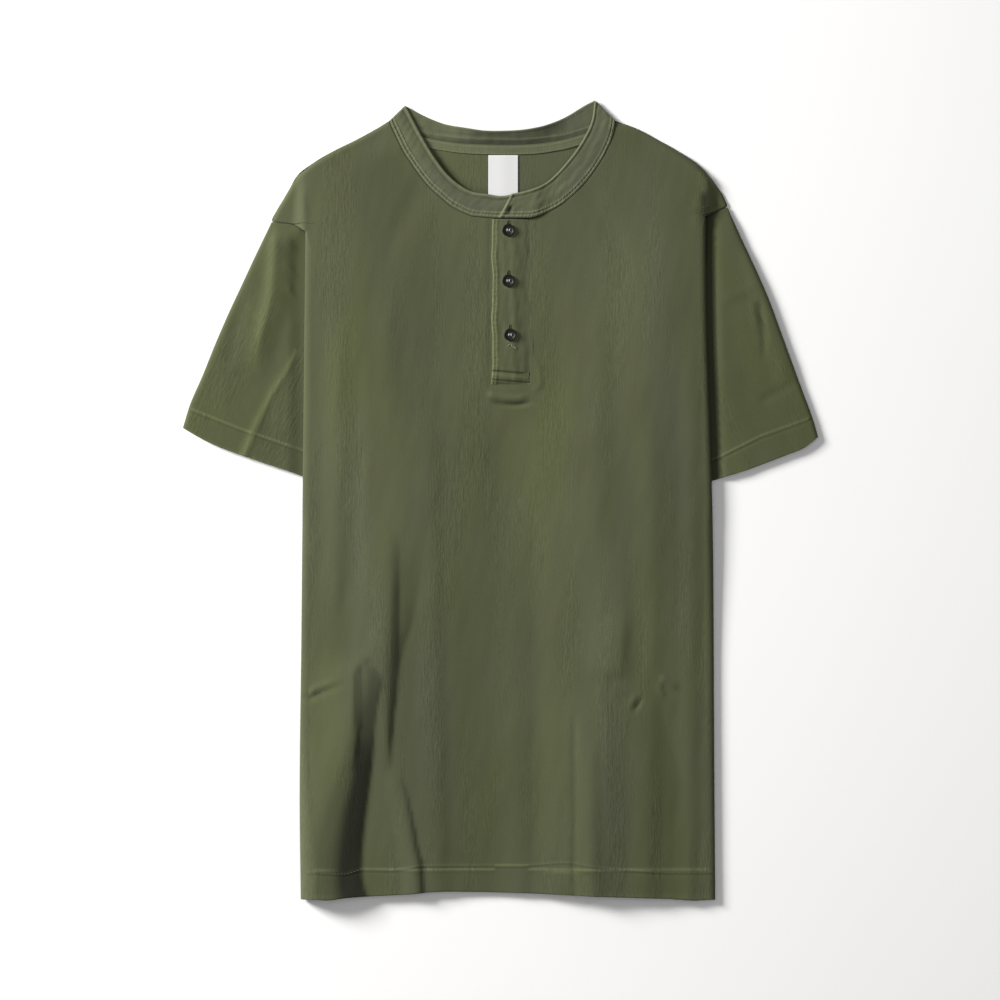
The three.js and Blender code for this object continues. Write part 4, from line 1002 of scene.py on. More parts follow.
def strip_piece(name, line_a, line_b, low_at, thickness, relief=None, masks=None, step=0.8, edge=0.8,
                upright=False):
    """A strip with rounded edges between two lines of as many points, B on the left of A.

    Its grain runs across it, or up the shirt where it is upright. low_at gives the height of its
    underside from x, y and the share across. relief gives a rise from x, y and the distances from A,
    from B and along it; masks gives the places of wear with painted highlight and of painted shade
    from x, y and the distances from A, from B and from the nearer end.
    """
    line_a, line_b = np.asarray(line_a, float), np.asarray(line_b, float)
    width = float(np.max(np.linalg.norm(line_b - line_a, axis=1)))
    across = steps_with_edges(width, step, (0, 0.15, 0.4, 0.8)) / width
    plan = mix(line_a[None], line_b[None], across[:, None, None])
    x, y = plan[..., 0], plan[..., 1]
    own_width = np.linalg.norm(line_b - line_a, axis=1)[None, :]
    from_a = across[:, None] * own_width
    middle = (line_a + line_b) / 2
    length = lengths_along(middle)
    from_end = np.minimum(length, length[-1] - length)[None, :]
    near = np.minimum(np.minimum(from_a, own_width - from_a), from_end)
    full = 0.15 + 0.85 * rounded(near, edge)
    share = across[:, None] + 0 * x
    low = low_at(x, y, share)
    extra = relief(x, y, from_a, own_width - from_a, length[None, :] + 0 * x) if relief else 0
    half = thickness / 2
    top = low + half + half * full + extra * ease(near / 0.8)
    bottom = low + half - half * full
    worn, deep = masks(x, y, from_a, own_width - from_a, from_end + 0 * x) if masks else (0 * x, 0 * x)
    grain = np.stack([x, y] if upright else [length[None, :] + 0 * x, from_a], -1)
    block = Block(np.stack([x, y, top], -1), np.stack([x, y, bottom], -1), grain=grain,
                  worn=np.clip(worn, 0, 1), deep=np.clip(deep, 0, 1))
    return wall_object(name, [block])


def band_height(y):
    return LAYER + 0.5 + (AIR - 0.5) * ease((340 - y) / 30)


def lap_height(x):
    return (BAND + GAP) * (1 - ease((x - PLACKET_RIGHT - 3) / 16))


def band_relief(x, y, from_seam, from_edge, along):
    ridges = sum(0.42 * bump(from_seam - at, 1.1) for at in BAND_RIDGES)
    between = sum(BAND_RIDGES) / 2
    puckers = 0.12 * np.sin(along * 1.9 + 1.3 * np.sin(along * 0.31)) * bump(from_seam - between, 5)
    rolled = 0.42 * bump(from_edge - 1.5, 1.7) - 0.32 * bump(from_edge - 4.0, 1.5)
    crown = 0.35 * bump(from_seam - 11, 6) + 0.16 * ripple(x, y, 77, 14) + 0.1 * ripple(x, y, 78, 5)
    return ridges + rolled + crown + puckers - 0.22 * bump(from_seam - between, 1.2)


def band_masks(x, y, from_seam, from_edge, from_end):
    # Paler wear and painted highlight on the ridges, the inner edge and the rolled end; painted shade in the
    # seam's ditch, behind the rolled edge and between the rows
    worn = sum(0.9 * bump(from_seam - at, 1.3) for at in BAND_RIDGES) + 0.9 * bump(from_edge - 0.9, 2.2)
    worn = worn + 0.8 * bump(from_end - 1.7, 2.8) * (y < NECK_MIDDLE_Y)
    deep = 0.25 * bump(from_seam, 0.9) + 0.22 * bump(from_edge - 4.0, 1.3) + 0.12 * bump(from_seam - 3.4, 0.9)
    return worn, deep


def lap_pocket(from_start, from_seam):
    """The hollow beside the end of the upper half, which the mask also paints with shade."""
    return bump(from_start - 6.4, 3.0) * ease((from_seam - 3.0) / 2) * ease((13 - from_seam) / 4)


def left_band():
    seam = neck_seam_points()
    until = int(np.argmax(seam[:, 0] > PLACKET_RIGHT - 1.5))
    points = seam[:until]
    points[0] = (-97.6, 332.6)
    count = 190
    line_a = even_steps(points, count)
    line_b = curve_through(LEFT_BAND_EDGE, count)
    return strip_piece("neckband_left", line_a, line_b, lambda x, y, s: band_height(y), BAND,
                       band_relief, band_masks)


def right_band():
    """The right half laps over the left one, and its end runs up in a rounded slant."""
    seam = neck_seam_points()
    start = int(np.argmax((seam[:, 0] > PLACKET_LEFT + 0.6) & (seam[:, 1] < NECK_FRONT_Y + 1)))
    points = seam[start:]
    points[-1] = (100.9, 332.8)
    count = 190
    line_a = even_steps(points, count)
    line_b = curve_through(RIGHT_BAND_EDGE, count)

    def relief(x, y, from_seam, from_edge, along):
        end = 0.7 * bump(along - 2.0, 2.3) - 1.3 * lap_pocket(along, from_seam)
        return band_relief(x, y, from_seam, from_edge, along) + end

    def masks(x, y, from_seam, from_edge, from_end):
        worn, deep = band_masks(x, y, from_seam, from_edge, from_end)
        # painted shade in the hollow beside the lap
        return worn, deep + 0.8 * lap_pocket(from_end, from_seam) * (y < NECK_MIDDLE_Y)

    return strip_piece("neckband_right", line_a, line_b, lambda x, y, s: band_height(y) + lap_height(x),
                       BAND, relief, masks)


def rear_lines():
    """The seam and the free edge of the back of the band."""
    count = 200
    seam = curve_through([(x, y + REAR_SEAM) for x, y in BACK_NECK], count)
    return seam, curve_through(BACK_BAND_TOP, count)


def rear_height(x, y, share):
    left, right = REAR_ENDS
    return REAR_RISE * share * ease((x - left) / REAR_RISE_RUN) * ease((right - x) / REAR_RISE_RUN)


def back_band():
    """The back of the band, seen from inside: it rises from the seam to its free edge."""
    def relief(x, y, from_seam, from_edge, along):
        ditch = -0.35 * bump(from_seam - 0.4, 2.6)
        ditch = ditch - 0.3 * bump(from_seam - 7.0, 2.2) * (1 - ease((x + 30) / 60))
        ridges = ditch + 0.35 * bump(from_seam - 4.2, 1.8) + 0.3 * bump(from_edge - 1.2, 1.4)
        return ridges + 0.15 * ripple(x, y, 55, 12)

    def masks(x, y, from_seam, from_edge, from_end):
        # Paler wear and painted highlight on the free edge and the ridge; painted shade in the seam's ditch
        worn = 0.5 * bump(from_edge, 2.0) + 0.25 * bump(from_seam - 4.2, 1.6)
        return worn, 0.3 * bump(from_seam - 0.6, 3.0)

    return strip_piece("neckband_rear", *rear_lines(), rear_height, BAND, relief, masks)


def tape_line(drop):
    x = np.linspace(TAPE["from"], TAPE["to"], 150)
    return np.stack([x, back_neck_at(x) - 0.5 - drop], 1)


def neck_tape():
    def relief(x, y, from_low, from_top, along):
        return -0.1 * bump(from_low - 1.3, 0.6) + 0.3 * bump(from_top - 2.2, 1.4) + 0.1 * ripple(x, y, 56, 9)

    def masks(x, y, from_low, from_top, from_end):
        # Paler wear and painted highlight along both edges; painted shade along its top, under the band
        return 0.5 * bump(from_low - 0.4, 1.4) + 0.3 * bump(from_top - 2.4, 1.4), 0.4 * bump(from_top, 1.6)

    return strip_piece("shoulder_tape", tape_line(TAPE["width"]), tape_line(0), lambda x, y, s: LAYER + 0 * x,
                       TAPE["thickness"], relief, masks, step=0.7, edge=0.35)


def neck_label():
    """A plain woven label, sewn in under the tape, with rounded lower corners."""
    top = float(back_neck_at(3)) - 0.5 - TAPE["width"] - GAP - 0.2
    y = np.linspace(LABEL["foot"], top, 60)
    off = LABEL["corner"] - np.minimum(y - LABEL["foot"], LABEL["corner"])
    tuck = LABEL["corner"] - np.sqrt(LABEL["corner"]**2 - off**2)
    line_a = np.stack([LABEL["right"] - tuck, y], 1)
    line_b = np.stack([LABEL["left"] + tuck, y], 1)

    def low_at(x, y, share):
        return LAYER + 0.25 * bump(share - 0.5, 0.5) + 0 * x

    return strip_piece("label", line_a, line_b, low_at, LABEL["thickness"], step=0.9, edge=0.25)


def placket_line(x, low, high, wobble=0.0):
    y = np.linspace(low, high, 170)
    wave = wobble * (np.sin(y * 0.105 + 0.6) + 0.5 * np.sin(y * 0.23))
    return np.stack([x + wave, y], 1)


def placket_under():
    low, high = PLACKET_FOOT + 0.4, NECK_FRONT_Y - 0.5
    return strip_piece("placket_under_strip", placket_line(PLACKET_RIGHT - 0.4, low, high),
                       placket_line(PLACKET_LEFT + 0.4, low, high),
                       lambda x, y, s: front_top(x, y) - CLOTH, CLOTH, step=1.6, upright=True)


def placket_edges():
    """The sewn right side and the free left edge of the upper half."""
    low, high = PLACKET_FOOT - PLACKET_LAP["foot"], NECK_FRONT_Y - 0.6
    return (placket_line(PLACKET_RIGHT + PLACKET_LAP["right"], low, high),
            placket_line(PLACKET_LEFT - PLACKET_LAP["left"], low, high, 0.55))


def placket_drop(x, y):
    side_drop = ease(1 - (PLACKET_RIGHT + PLACKET_LAP["right"] - x) / FLUSH_RUN)
    foot_drop = ease(1 - (y - PLACKET_FOOT + PLACKET_LAP["foot"]) / FOOT_RUN)
    return FLUSH * np.maximum(side_drop, foot_drop)


def placket_surface(x, y):
    return front_top(x, y) + GAP + CLOTH - placket_drop(x, y)


def placket_top():
    """The upper half of the placket: stitched along its free edge, with a sewn box at its foot."""
    def box_lines(x, y):
        """The two sewn lines of the box, a little lower on the right, that end in a round turn."""
        level = y + 0.09 * (x + 6) - 108.9
        turn_x, radius = BOX_TURN
        within = ease((x + 8.5) / 2) * (x <= turn_x)
        turn = bump(np.hypot(x - turn_x, level) - radius, 1.2) * (x > turn_x)
        upper = within * bump(level - radius, 1.2) + turn
        return upper, within * bump(level + radius, 1.2), within * bump(level, 2.8)

    def relief(x, y, from_right, from_left, along):
        edge = 0.30 * bump(from_left - 0.9, 1.0) - 0.45 * bump(from_left - PLACKET_STITCH, 0.9)
        edge = edge + 0.32 * bump(from_left - 4.0, 1.4)
        upper, lower, roll = box_lines(x, y)
        puckers = 0.16 * np.sin(y * 1.35 + 2 * np.sin(y * 0.17)) * bump(from_left - 2, 5)
        soft = 0.22 * ripple(x, y, 61, 11, 2.5) + 0.1 * ripple(x, y, 62, 5, 2.0)
        return edge + 0.5 * roll - 0.8 * upper - 0.8 * lower + puckers + soft

    def masks(x, y, from_right, from_left, from_end):
        upper, lower, roll = box_lines(x, y)
        # Paler wear and painted highlight on the free edge, its ridge, the box's roll and in a ring round
        # each button; painted shade in the box's sewn lines, beside the stitching and in the creases
        worn = 0.95 * bump(from_left - 0.7, 1.7) + 0.65 * bump(from_left - 4.0, 1.5) + 0.25 * roll
        deep = crease_shade(x, y) + upper + lower + 0.4 * bump(from_left - PLACKET_STITCH, 0.8)
        for _, bx, by in BUTTONS:
            worn = worn + 0.3 * ease(1 - (np.hypot(x - bx, y - by) - 5.2) / 3.5)
        return worn, deep

    def low_at(x, y, share):
        return placket_surface(x, y) - CLOTH

    return strip_piece("placket", *placket_edges(), low_at, CLOTH, relief, masks, step=0.9, upright=True)


# Buttons and buttonholes
BUTTONS = (("button_one", 6.8, 236.2), ("button_two", 6.8, 191.8), ("button_three", 8.4, 144.3))
BUTTON = {"radius": 5.5, "height": 1.9, "rim": 0.75, "dish": 0.7, "hole": 0.6, "hole_off": 0.95, "sides": 56}
DRILL = {"from": -1, "to": 4, "sides": 14}
BUTTONHOLE = {"length": 15.0, "width": 2.6, "shift": 1.6}


def lathe(profile, sides):
    """A closed body from a profile of (radius, height) that starts and ends on the axis."""
    points, faces = [(0, 0, profile[0][1])], []
    rings = profile[1:-1]
    for radius, height in rings:
        for i in range(sides):
            turn = 2 * math.pi * i / sides
            points.append((radius * math.cos(turn), radius * math.sin(turn), height))
    points.append((0, 0, profile[-1][1]))
    last = len(points) - 1
    for i in range(sides):
        after = (i + 1) % sides
        faces.append((0, 1 + after, 1 + i))
        for r in range(len(rings) - 1):
            a, b = 1 + r * sides, 1 + (r + 1) * sides
            faces.append((a + i, a + after, b + after, b + i))
        top = 1 + (len(rings) - 1) * sides
        faces.append((top + i, top + after, last))
    return points, faces


def mesh_object(name, points, faces, smooth=True):
    mesh = bpy.data.meshes.new(name)
    mesh.from_pydata(points, [], faces)
    mesh.polygons.foreach_set("use_smooth", [smooth] * len(mesh.polygons))
    mesh.update()
    return in_scene(name, mesh)


def settle(thing):
    """Turns an object with modifiers into a plain mesh."""
    bpy.context.view_layer.update()
    ready = thing.evaluated_get(bpy.context.evaluated_depsgraph_get())
    mesh = bpy.data.meshes.new_from_object(ready)
    thing.modifiers.clear()
    old = thing.data
    thing.data = mesh
    mesh.name = thing.name
    bpy.data.meshes.remove(old)
    return thing


def button(name, cx, cy):
    """A four hole button with a rolled rim and a dished middle."""
    r, h, round_rim, dish = (BUTTON[key] for key in ("radius", "height", "rim", "dish"))
    base = float(placket_surface(np.array(cx), np.array(cy))) + GAP
    rim = [(r - round_rim + round_rim * math.cos(a), h - round_rim + round_rim * math.sin(a))
           for a in np.linspace(-0.3, 2.2, 9)]
    inner = [(r * 0.68, h - dish * 0.75), (r * 0.56, h - dish), (r * 0.3, h - dish * 1.02)]
    profile = [(0, 0), (r * 0.3, 0), (r * 0.62, 0.06), (r * 0.86, 0.45), *rim, *inner, (0, h - dish)]
    thing = mesh_object(name, *lathe(profile, BUTTON["sides"]))
    drill_points, drill_faces = [], []
    off, hole, low, high = BUTTON["hole_off"], BUTTON["hole"], DRILL["from"], DRILL["to"]
    for sx, sy in ((1, 1), (-1, 1), (-1, -1), (1, -1)):
        p, f = lathe([(0, low), (hole, low), (hole, high), (0, high)], DRILL["sides"])
        start = len(drill_points)
        drill_points += [(a + sx * off, b + sy * off, c) for a, b, c in p]
        drill_faces += [tuple(i + start for i in face) for face in f]
    drill = mesh_object(name + "_drill", drill_points, drill_faces)
    cut = thing.modifiers.new("Holes", "BOOLEAN")
    cut.operation = "DIFFERENCE"
    cut.solver = "EXACT"
    cut.object = drill
    settle(thing)
    bpy.data.objects.remove(drill)
    co = np.zeros(len(thing.data.vertices) * 3)
    thing.data.vertices.foreach_get("co", co)
    co = (co.reshape(-1, 3) + (cx, cy, base)) * MM
    thing.data.vertices.foreach_set("co", co.reshape(-1))
    thing.data.update()
    return thing


# Stitches and other threads, made by Geometry Nodes
def new_node(tree, kind, settings=None, **inputs):
    """A node with its settings and inputs, each by name or, as i0, i1 and on, by number.

    An input is a value or another node's output.
    """
    node = tree.nodes.new(kind)
    for key, value in (settings or {}).items():
        setattr(node, key, value)
    for key, value in inputs.items():
        number = key[0] == "i" and key[1:].isdigit()
        socket = node.inputs[int(key[1:]) if number else key.replace("_", " ")]
        if isinstance(value, bpy.types.NodeSocket):
            tree.links.new(value, socket)
        else:
            socket.default_value = value
    return node


def stitch_tree():
    """Rounded stitches along the edges of a mesh, each a little off in length and direction."""
    tree = bpy.data.node_groups.new("Stitch row", "GeometryNodeTree")
    face = tree.interface
    face.new_socket("Geometry", in_out="INPUT", socket_type="NodeSocketGeometry")
    for label, kind in (("Spacing", "Float"), ("Length", "Float"), ("Width", "Float"), ("Sway", "Float"),
                        ("Seed", "Int"), ("Thread", "Material")):
        face.new_socket(label, in_out="INPUT", socket_type="NodeSocket" + kind)
    face.new_socket("Geometry", in_out="OUTPUT", socket_type="NodeSocketGeometry")

    def node(kind, settings=None, **inputs):
        return new_node(tree, kind, settings, **inputs)

    asked = node("NodeGroupInput").outputs
    curve = node("GeometryNodeMeshToCurve", Mesh=asked["Geometry"])
    even = node("GeometryNodeResampleCurve", {"mode": "LENGTH"}, Curve=curve.outputs["Curve"],
                Length=asked["Spacing"])
    ball = node("GeometryNodeMeshUVSphere", Segments=6, Rings=5, Radius=0.5)
    size = node("ShaderNodeCombineXYZ", X=asked["Length"], Y=asked["Width"], Z=asked["Width"])
    shape = node("GeometryNodeTransform", Geometry=ball.outputs["Mesh"], Scale=size.outputs["Vector"])
    tangent = node("GeometryNodeInputTangent")
    align = node("FunctionNodeAlignRotationToVector", {"axis": "X"}, Vector=tangent.outputs["Tangent"])
    minus = node("ShaderNodeMath", {"operation": "MULTIPLY"}, i0=asked["Sway"], i1=-1)
    low = node("ShaderNodeCombineXYZ", Z=minus.outputs["Value"])
    high = node("ShaderNodeCombineXYZ", Z=asked["Sway"])
    swing = node("FunctionNodeRandomValue", {"data_type": "FLOAT_VECTOR"}, Min=low.outputs["Vector"],
                 Max=high.outputs["Vector"], Seed=asked["Seed"])
    turn = node("FunctionNodeRotateRotation", {"rotation_space": "LOCAL"},
                Rotation=align.outputs["Rotation"], Rotate_By=swing.outputs["Value"])
    scale = node("FunctionNodeRandomValue", {"data_type": "FLOAT_VECTOR"}, Min=(0.75, 0.85, 0.85),
                 Max=(1.1, 1.15, 1.15), Seed=asked["Seed"])
    place = node("GeometryNodeInstanceOnPoints", Points=even.outputs["Curve"],
                 Instance=shape.outputs["Geometry"], Rotation=turn.outputs["Rotation"],
                 Scale=scale.outputs["Value"])
    real = node("GeometryNodeRealizeInstances", Geometry=place.outputs["Instances"])
    soft = node("GeometryNodeSetShadeSmooth", i0=real.outputs["Geometry"])
    paint = node("GeometryNodeSetMaterial", Geometry=soft.outputs[0], Material=asked["Thread"])
    node("NodeGroupOutput", Geometry=paint.outputs["Geometry"])
    return tree


def stitches(name, lines, tree, thread, spacing, length, width, sway, seed):
    """Stitches along lines of (x, y, z) in millimetres."""
    points, edges = [], []
    for line in lines:
        start = len(points)
        points += [tuple(p * MM) for p in np.asarray(line, float)]
        edges += [(i, i + 1) for i in range(start, len(points) - 1)]
    mesh = bpy.data.meshes.new(name)
    mesh.from_pydata(points, edges, [])
    thing = in_scene(name, mesh)
    row = thing.modifiers.new("Stitch row", "NODES")
    row.node_group = tree
    values = {"Spacing": spacing * MM, "Length": length * MM, "Width": width * MM, "Sway": sway,
              "Seed": seed, "Thread": thread}
    for socket in tree.interface.items_tree:
        if socket.in_out == "INPUT" and socket.name in values:
            row[socket.identifier] = values[socket.name]
    return settle(thing)


def raised(line, height_at, lift):
    """A line in plan laid on a surface."""
    line = np.asarray(line, float)
    return np.column_stack([line, height_at(line[:, 0], line[:, 1]) + lift])


def band_rows():
    """The two rows of stitching round the neckband, on both halves."""
    seam = neck_seam_points()
    rows, count = [], 420
    for at in BAND_RIDGES:
        line = even_steps(moved_aside(even_steps(seam, count), at), count)
        x, y = line[:, 0], line[:, 1]
        rise = band_height(y) + BAND + 0.24
        right = (x > -4.0 + at * 0.6) & (np.arange(count) > 150)
        left = (x < PLACKET_LEFT + 2 + at * 0.6) & (np.arange(count) < 260) & (y > NECK_FRONT_Y)
        spare = 3
        first = np.column_stack([line, rise])[left][spare:]
        second = np.column_stack([line, rise + lap_height(x)])[right][spare:-spare]
        rows += [first[:-spare], second]
    return rows


def placket_rows():
    left = placket_edges()[1]
    foot, top = PLACKET_SEWN
    left = left[(left[:, 1] > foot) & (left[:, 1] < top)] + (PLACKET_STITCH, 0)
    return [raised(left, placket_surface, -0.3)]


def loose_thread_rows():
    """A loose curl of thread below the third button."""
    curl = [(6.2, 134.2), (7.6, 135.6), (9.3, 136.1), (11.2, 135.2), (12.4, 133.6), (13.4, 131.8)]
    tail = [(9.3, 136.1), (10.2, 134.2), (12.0, 133.2), (13.8, 133.6)]
    return [raised(curve_through(line, 40), placket_surface, 0.5) for line in (curl, tail)]


def hem_rows():
    x = np.linspace(-166, 181, 260)
    level = np.full(len(x), HEM_SEAM_Y)
    return [np.column_stack([x, hem_wave(x, HEM_SEAM_Y), front_top(x, level) - 0.16])]


def cuff_rows(side):
    line = curve_through(side.cuff_stitch, 150)
    return [raised(line, lambda x, y: sleeve_top(side, x, y), -0.12)]


def tape_rows():
    rows = []
    for drop in (1.3, TAPE["width"] - 1.3):
        line = tape_line(drop)[3:-3]
        rows.append(np.column_stack([line, np.full(len(line), LAYER + TAPE["thickness"])]))
    return rows


def rear_band_rows():
    rows = []
    for share in (0.33, 0.88):
        line = mix(*rear_lines(), share)[14:-14]
        z = rear_height(line[:, 0], line[:, 1], share) + BAND + 0.1
        rows.append(np.column_stack([line, z]))
    return rows


def oval(cx, cy, half_length, half_width, count=60):
    turn = np.linspace(0, 2 * math.pi, count)
    return np.stack([cx + half_width * np.cos(turn), cy + half_length * np.sin(turn)], 1)


def buttonhole_rows():
    """Each buttonhole is bound all round with close stitches."""
    rows = []
    for _, cx, cy in BUTTONS:
        edge = oval(cx, cy + BUTTONHOLE["shift"], BUTTONHOLE["length"] / 2, BUTTONHOLE["width"] / 2)
        rows.append(raised(edge, placket_surface, 0.05))
    return rows


def slit(name, cx, cy):
    """The slot of a buttonhole: a near black sheet that stands for the shadow in it."""
    edge = oval(cx, cy + BUTTONHOLE["shift"], BUTTONHOLE["length"] / 2 - 0.8, 0.42, 25)[:-1]
    z = placket_surface(edge[:, 0], edge[:, 1]) + 0.12
    top = np.column_stack([edge, z]) * MM
    low = top - (0, 0, 0.35 * MM)
    count = len(top)
    faces = [tuple(range(count)), tuple(reversed(range(count, 2 * count)))]
    faces += [(i, i + count, (i + 1) % count + count, (i + 1) % count) for i in range(count)]
    return mesh_object(name, [tuple(p) for p in np.concatenate([top, low])], faces, smooth=False)


def button_thread_rows():
    """Thread through the four holes of each button, in two bars."""
    rows = []
    for _, cx, cy in BUTTONS:
        base = float(placket_surface(np.array(cx), np.array(cy))) + GAP + BUTTON["height"] - BUTTON["dish"]
        off = BUTTON["hole_off"]
        for sx in (-1, 1):
            for shift in (-0.25, 0.0, 0.25):
                t = np.linspace(-1, 1, 9)
                rows.append(np.column_stack([cx + sx * off + shift + 0 * t, cy + t * off,
                                             base - 0.35 + 0.75 * (1 - t**4)]))
    return rows


# Shader building
def maths(tree, operation, a, b=0.0, c=0.0):
    return new_node(tree, "ShaderNodeMath", {"operation": operation}, i0=a, i1=b, i2=c).outputs[0]


def stretched_noise(tree, place, size, detail, rough, seed):
    """Noise stretched to a size of (across, along) in metres."""
    shift = new_node(tree, "ShaderNodeMapping", {"vector_type": "POINT"}, Vector=place,
                     Location=(seed * 3.7, seed * 1.9, 0), Scale=(1 / size[0], 1 / size[1], 1))
    noise = new_node(tree, "ShaderNodeTexNoise", {"noise_dimensions": "2D"}, Vector=shift.outputs[0],
                     Scale=1.0, Detail=detail, Roughness=rough)
    return maths(tree, "SUBTRACT", noise.outputs[0], 0.5)


# Noises of the knit: sizes across and along in metres, detail, roughness and seed
KNIT_NOISES = {
    "wander": ((0.011, 0.016), 2.0, 0.5, 8), "broad": ((0.0048, 0.045), 2.0, 0.5, 1),
    "rib": ((0.0021, 0.013), 2.0, 0.55, 2), "fine": ((0.0013, 0.0055), 2.0, 0.6, 3),
    "fuzz": ((0.0011, 0.0014), 3.0, 0.7, 4), "cloud": ((0.07, 0.15), 3.0, 0.5, 5),
    "band": ((0.030, 0.21), 2.0, 0.5, 6), "tint": ((0.055, 0.24), 2.0, 0.5, 7)}
WANDER = 0.0022             # how far ribs wander to either side, in metres


def knit_group():
    """The surface of a garment dyed knit: uneven ribs along the grain, crinkles, fuzz and cloudy dye."""
    tree = bpy.data.node_groups.new("Garment dyed knit", "ShaderNodeTree")
    face = tree.interface
    for label, value in (("Rib", 1.0), ("Crinkle", 1.0), ("Fuzz", 1.0), ("Cloud", 1.0)):
        face.new_socket(label, in_out="INPUT", socket_type="NodeSocketFloat").default_value = value
    for label in ("Shade", "Tint", "Height"):
        face.new_socket(label, in_out="OUTPUT", socket_type="NodeSocketFloat")
    source, result = tree.nodes.new("NodeGroupInput"), tree.nodes.new("NodeGroupOutput")
    straight = new_node(tree, "ShaderNodeUVMap", {"uv_map": "grain"}).outputs[0]

    def noise(label, place):
        return stretched_noise(tree, place, *KNIT_NOISES[label])

    wander = maths(tree, "MULTIPLY", noise("wander", straight), WANDER)
    sway = new_node(tree, "ShaderNodeCombineXYZ", X=wander)
    moved = new_node(tree, "ShaderNodeVectorMath", {"operation": "ADD"}, i0=straight, i1=sway.outputs[0])
    grain = moved.outputs[0]
    broad, rib, fine, fuzz = (noise(label, grain) for label in ("broad", "rib", "fine", "fuzz"))
    cloud, band, tint = (noise(label, straight) for label in ("cloud", "band", "tint"))
    crinkled = new_node(tree, "ShaderNodeMapRange", {"clamp": True, "interpolation_type": "SMOOTHSTEP"},
                        i0=band, i1=-0.06, i2=0.16, i3=0.22, i4=1.3).outputs[0]
    ribs = maths(tree, "MULTIPLY_ADD", broad, 0.35, maths(tree, "MULTIPLY_ADD", fine, 0.9, rib))
    ribs = maths(tree, "MULTIPLY", ribs, crinkled)
    shade = maths(tree, "MULTIPLY", ribs, source.outputs["Rib"])
    shade = maths(tree, "MULTIPLY_ADD", fuzz, source.outputs["Fuzz"], shade)
    shade = maths(tree, "MULTIPLY_ADD", cloud, source.outputs["Cloud"], shade)
    height = maths(tree, "MULTIPLY", ribs, source.outputs["Crinkle"])
    height = maths(tree, "MULTIPLY_ADD", fuzz, 0.35, height)
    tree.links.new(shade, result.inputs["Shade"])
    tree.links.new(maths(tree, "MULTIPLY_ADD", tint, 1.6, 0.5), result.inputs["Tint"])
    tree.links.new(height, result.inputs["Height"])
    return tree


def colour_mix(tree, factor, first, second):
    """Two colours mixed by a clamped factor; a colour is three numbers or another node's output."""
    node = tree.nodes.new("ShaderNodeMix")
    node.data_type = "RGBA"
    node.clamp_factor = True
    for index, value in ((0, factor), (6, first), (7, second)):
        if isinstance(value, bpy.types.NodeSocket):
            tree.links.new(value, node.inputs[index])
        else:
            node.inputs[index].default_value = (*value, 1) if index else value
    return node.outputs[2]


def empty_material(name):
    material = bpy.data.materials.new(name)
    material.use_nodes = True
    material.node_tree.nodes.clear()
    return material, material.node_tree


def put_surface(tree, **inputs):
    """Ends a material with a surface of the given inputs."""
    surface = new_node(tree, "ShaderNodeBsdfPrincipled", **inputs)
    new_node(tree, "ShaderNodeOutputMaterial", Surface=surface.outputs[0])


KNIT_DEPTH = 0.00017        # how deep the knit's relief is, in metres
KNIT_ROUGH = 0.9
KNIT_CLOUD = 0.6            # how strongly the dye is clouded
KNIT_DARK, KNIT_LIGHT = 0.72, 1.28   # the darkest and lightest of the knit's shades against its dye
WEAR_AND_HIGHLIGHT_GAIN, WEAR_AND_HIGHLIGHT_ADD = 1.75, 0.015    # wear and painted highlights are this much paler than the dye
PAINTED_SHADE_GAIN = 0.30            # and painted shade is this share of it


def toned(colour, gain, more=0.0):
    return [c * gain + more for c in colour]


def knit_material(name, knit, grey, green, rib=0.5, crinkle=1.0, fuzz=0.45):
    """Knit cloth: the dye drifts from a grey to a yellower green, raised edges are paler with wear and
    painted highlight, and ditches are painted darker with shade.
    """
    material, tree = empty_material(name)
    cloth = tree.nodes.new("ShaderNodeGroup")
    cloth.node_tree = knit
    for label, value in (("Rib", rib), ("Crinkle", crinkle), ("Fuzz", fuzz), ("Cloud", KNIT_CLOUD)):
        cloth.inputs[label].default_value = value
    shade = maths(tree, "MULTIPLY_ADD", cloth.outputs["Shade"], 0.9, 0.5)
    dark, light = (colour_mix(tree, cloth.outputs["Tint"], toned(grey, gain), toned(green, gain))
                   for gain in (KNIT_DARK, KNIT_LIGHT))
    base = colour_mix(tree, shade, dark, light)
    worn = new_node(tree, "ShaderNodeAttribute", {"attribute_name": "worn"}).outputs["Fac"]
    uneven = maths(tree, "MULTIPLY", worn, maths(tree, "MULTIPLY_ADD", cloth.outputs["Height"], 1.2, 0.7))
    base = colour_mix(tree, uneven, base, toned(green, WEAR_AND_HIGHLIGHT_GAIN, WEAR_AND_HIGHLIGHT_ADD))
    deep = new_node(tree, "ShaderNodeAttribute", {"attribute_name": "deep"}).outputs["Fac"]
    base = colour_mix(tree, deep, base, toned(grey, PAINTED_SHADE_GAIN))
    rise = new_node(tree, "ShaderNodeBump", Strength=1.0, Distance=KNIT_DEPTH, Height=cloth.outputs["Height"])
    roughness = maths(tree, "MULTIPLY_ADD", cloth.outputs["Shade"], -0.06, KNIT_ROUGH)
    put_surface(tree, Base_Color=base, Roughness=roughness, Sheen_Weight=0.06, Sheen_Roughness=0.5,
                Specular_IOR_Level=0.2, Normal=rise.outputs[0])
    return material


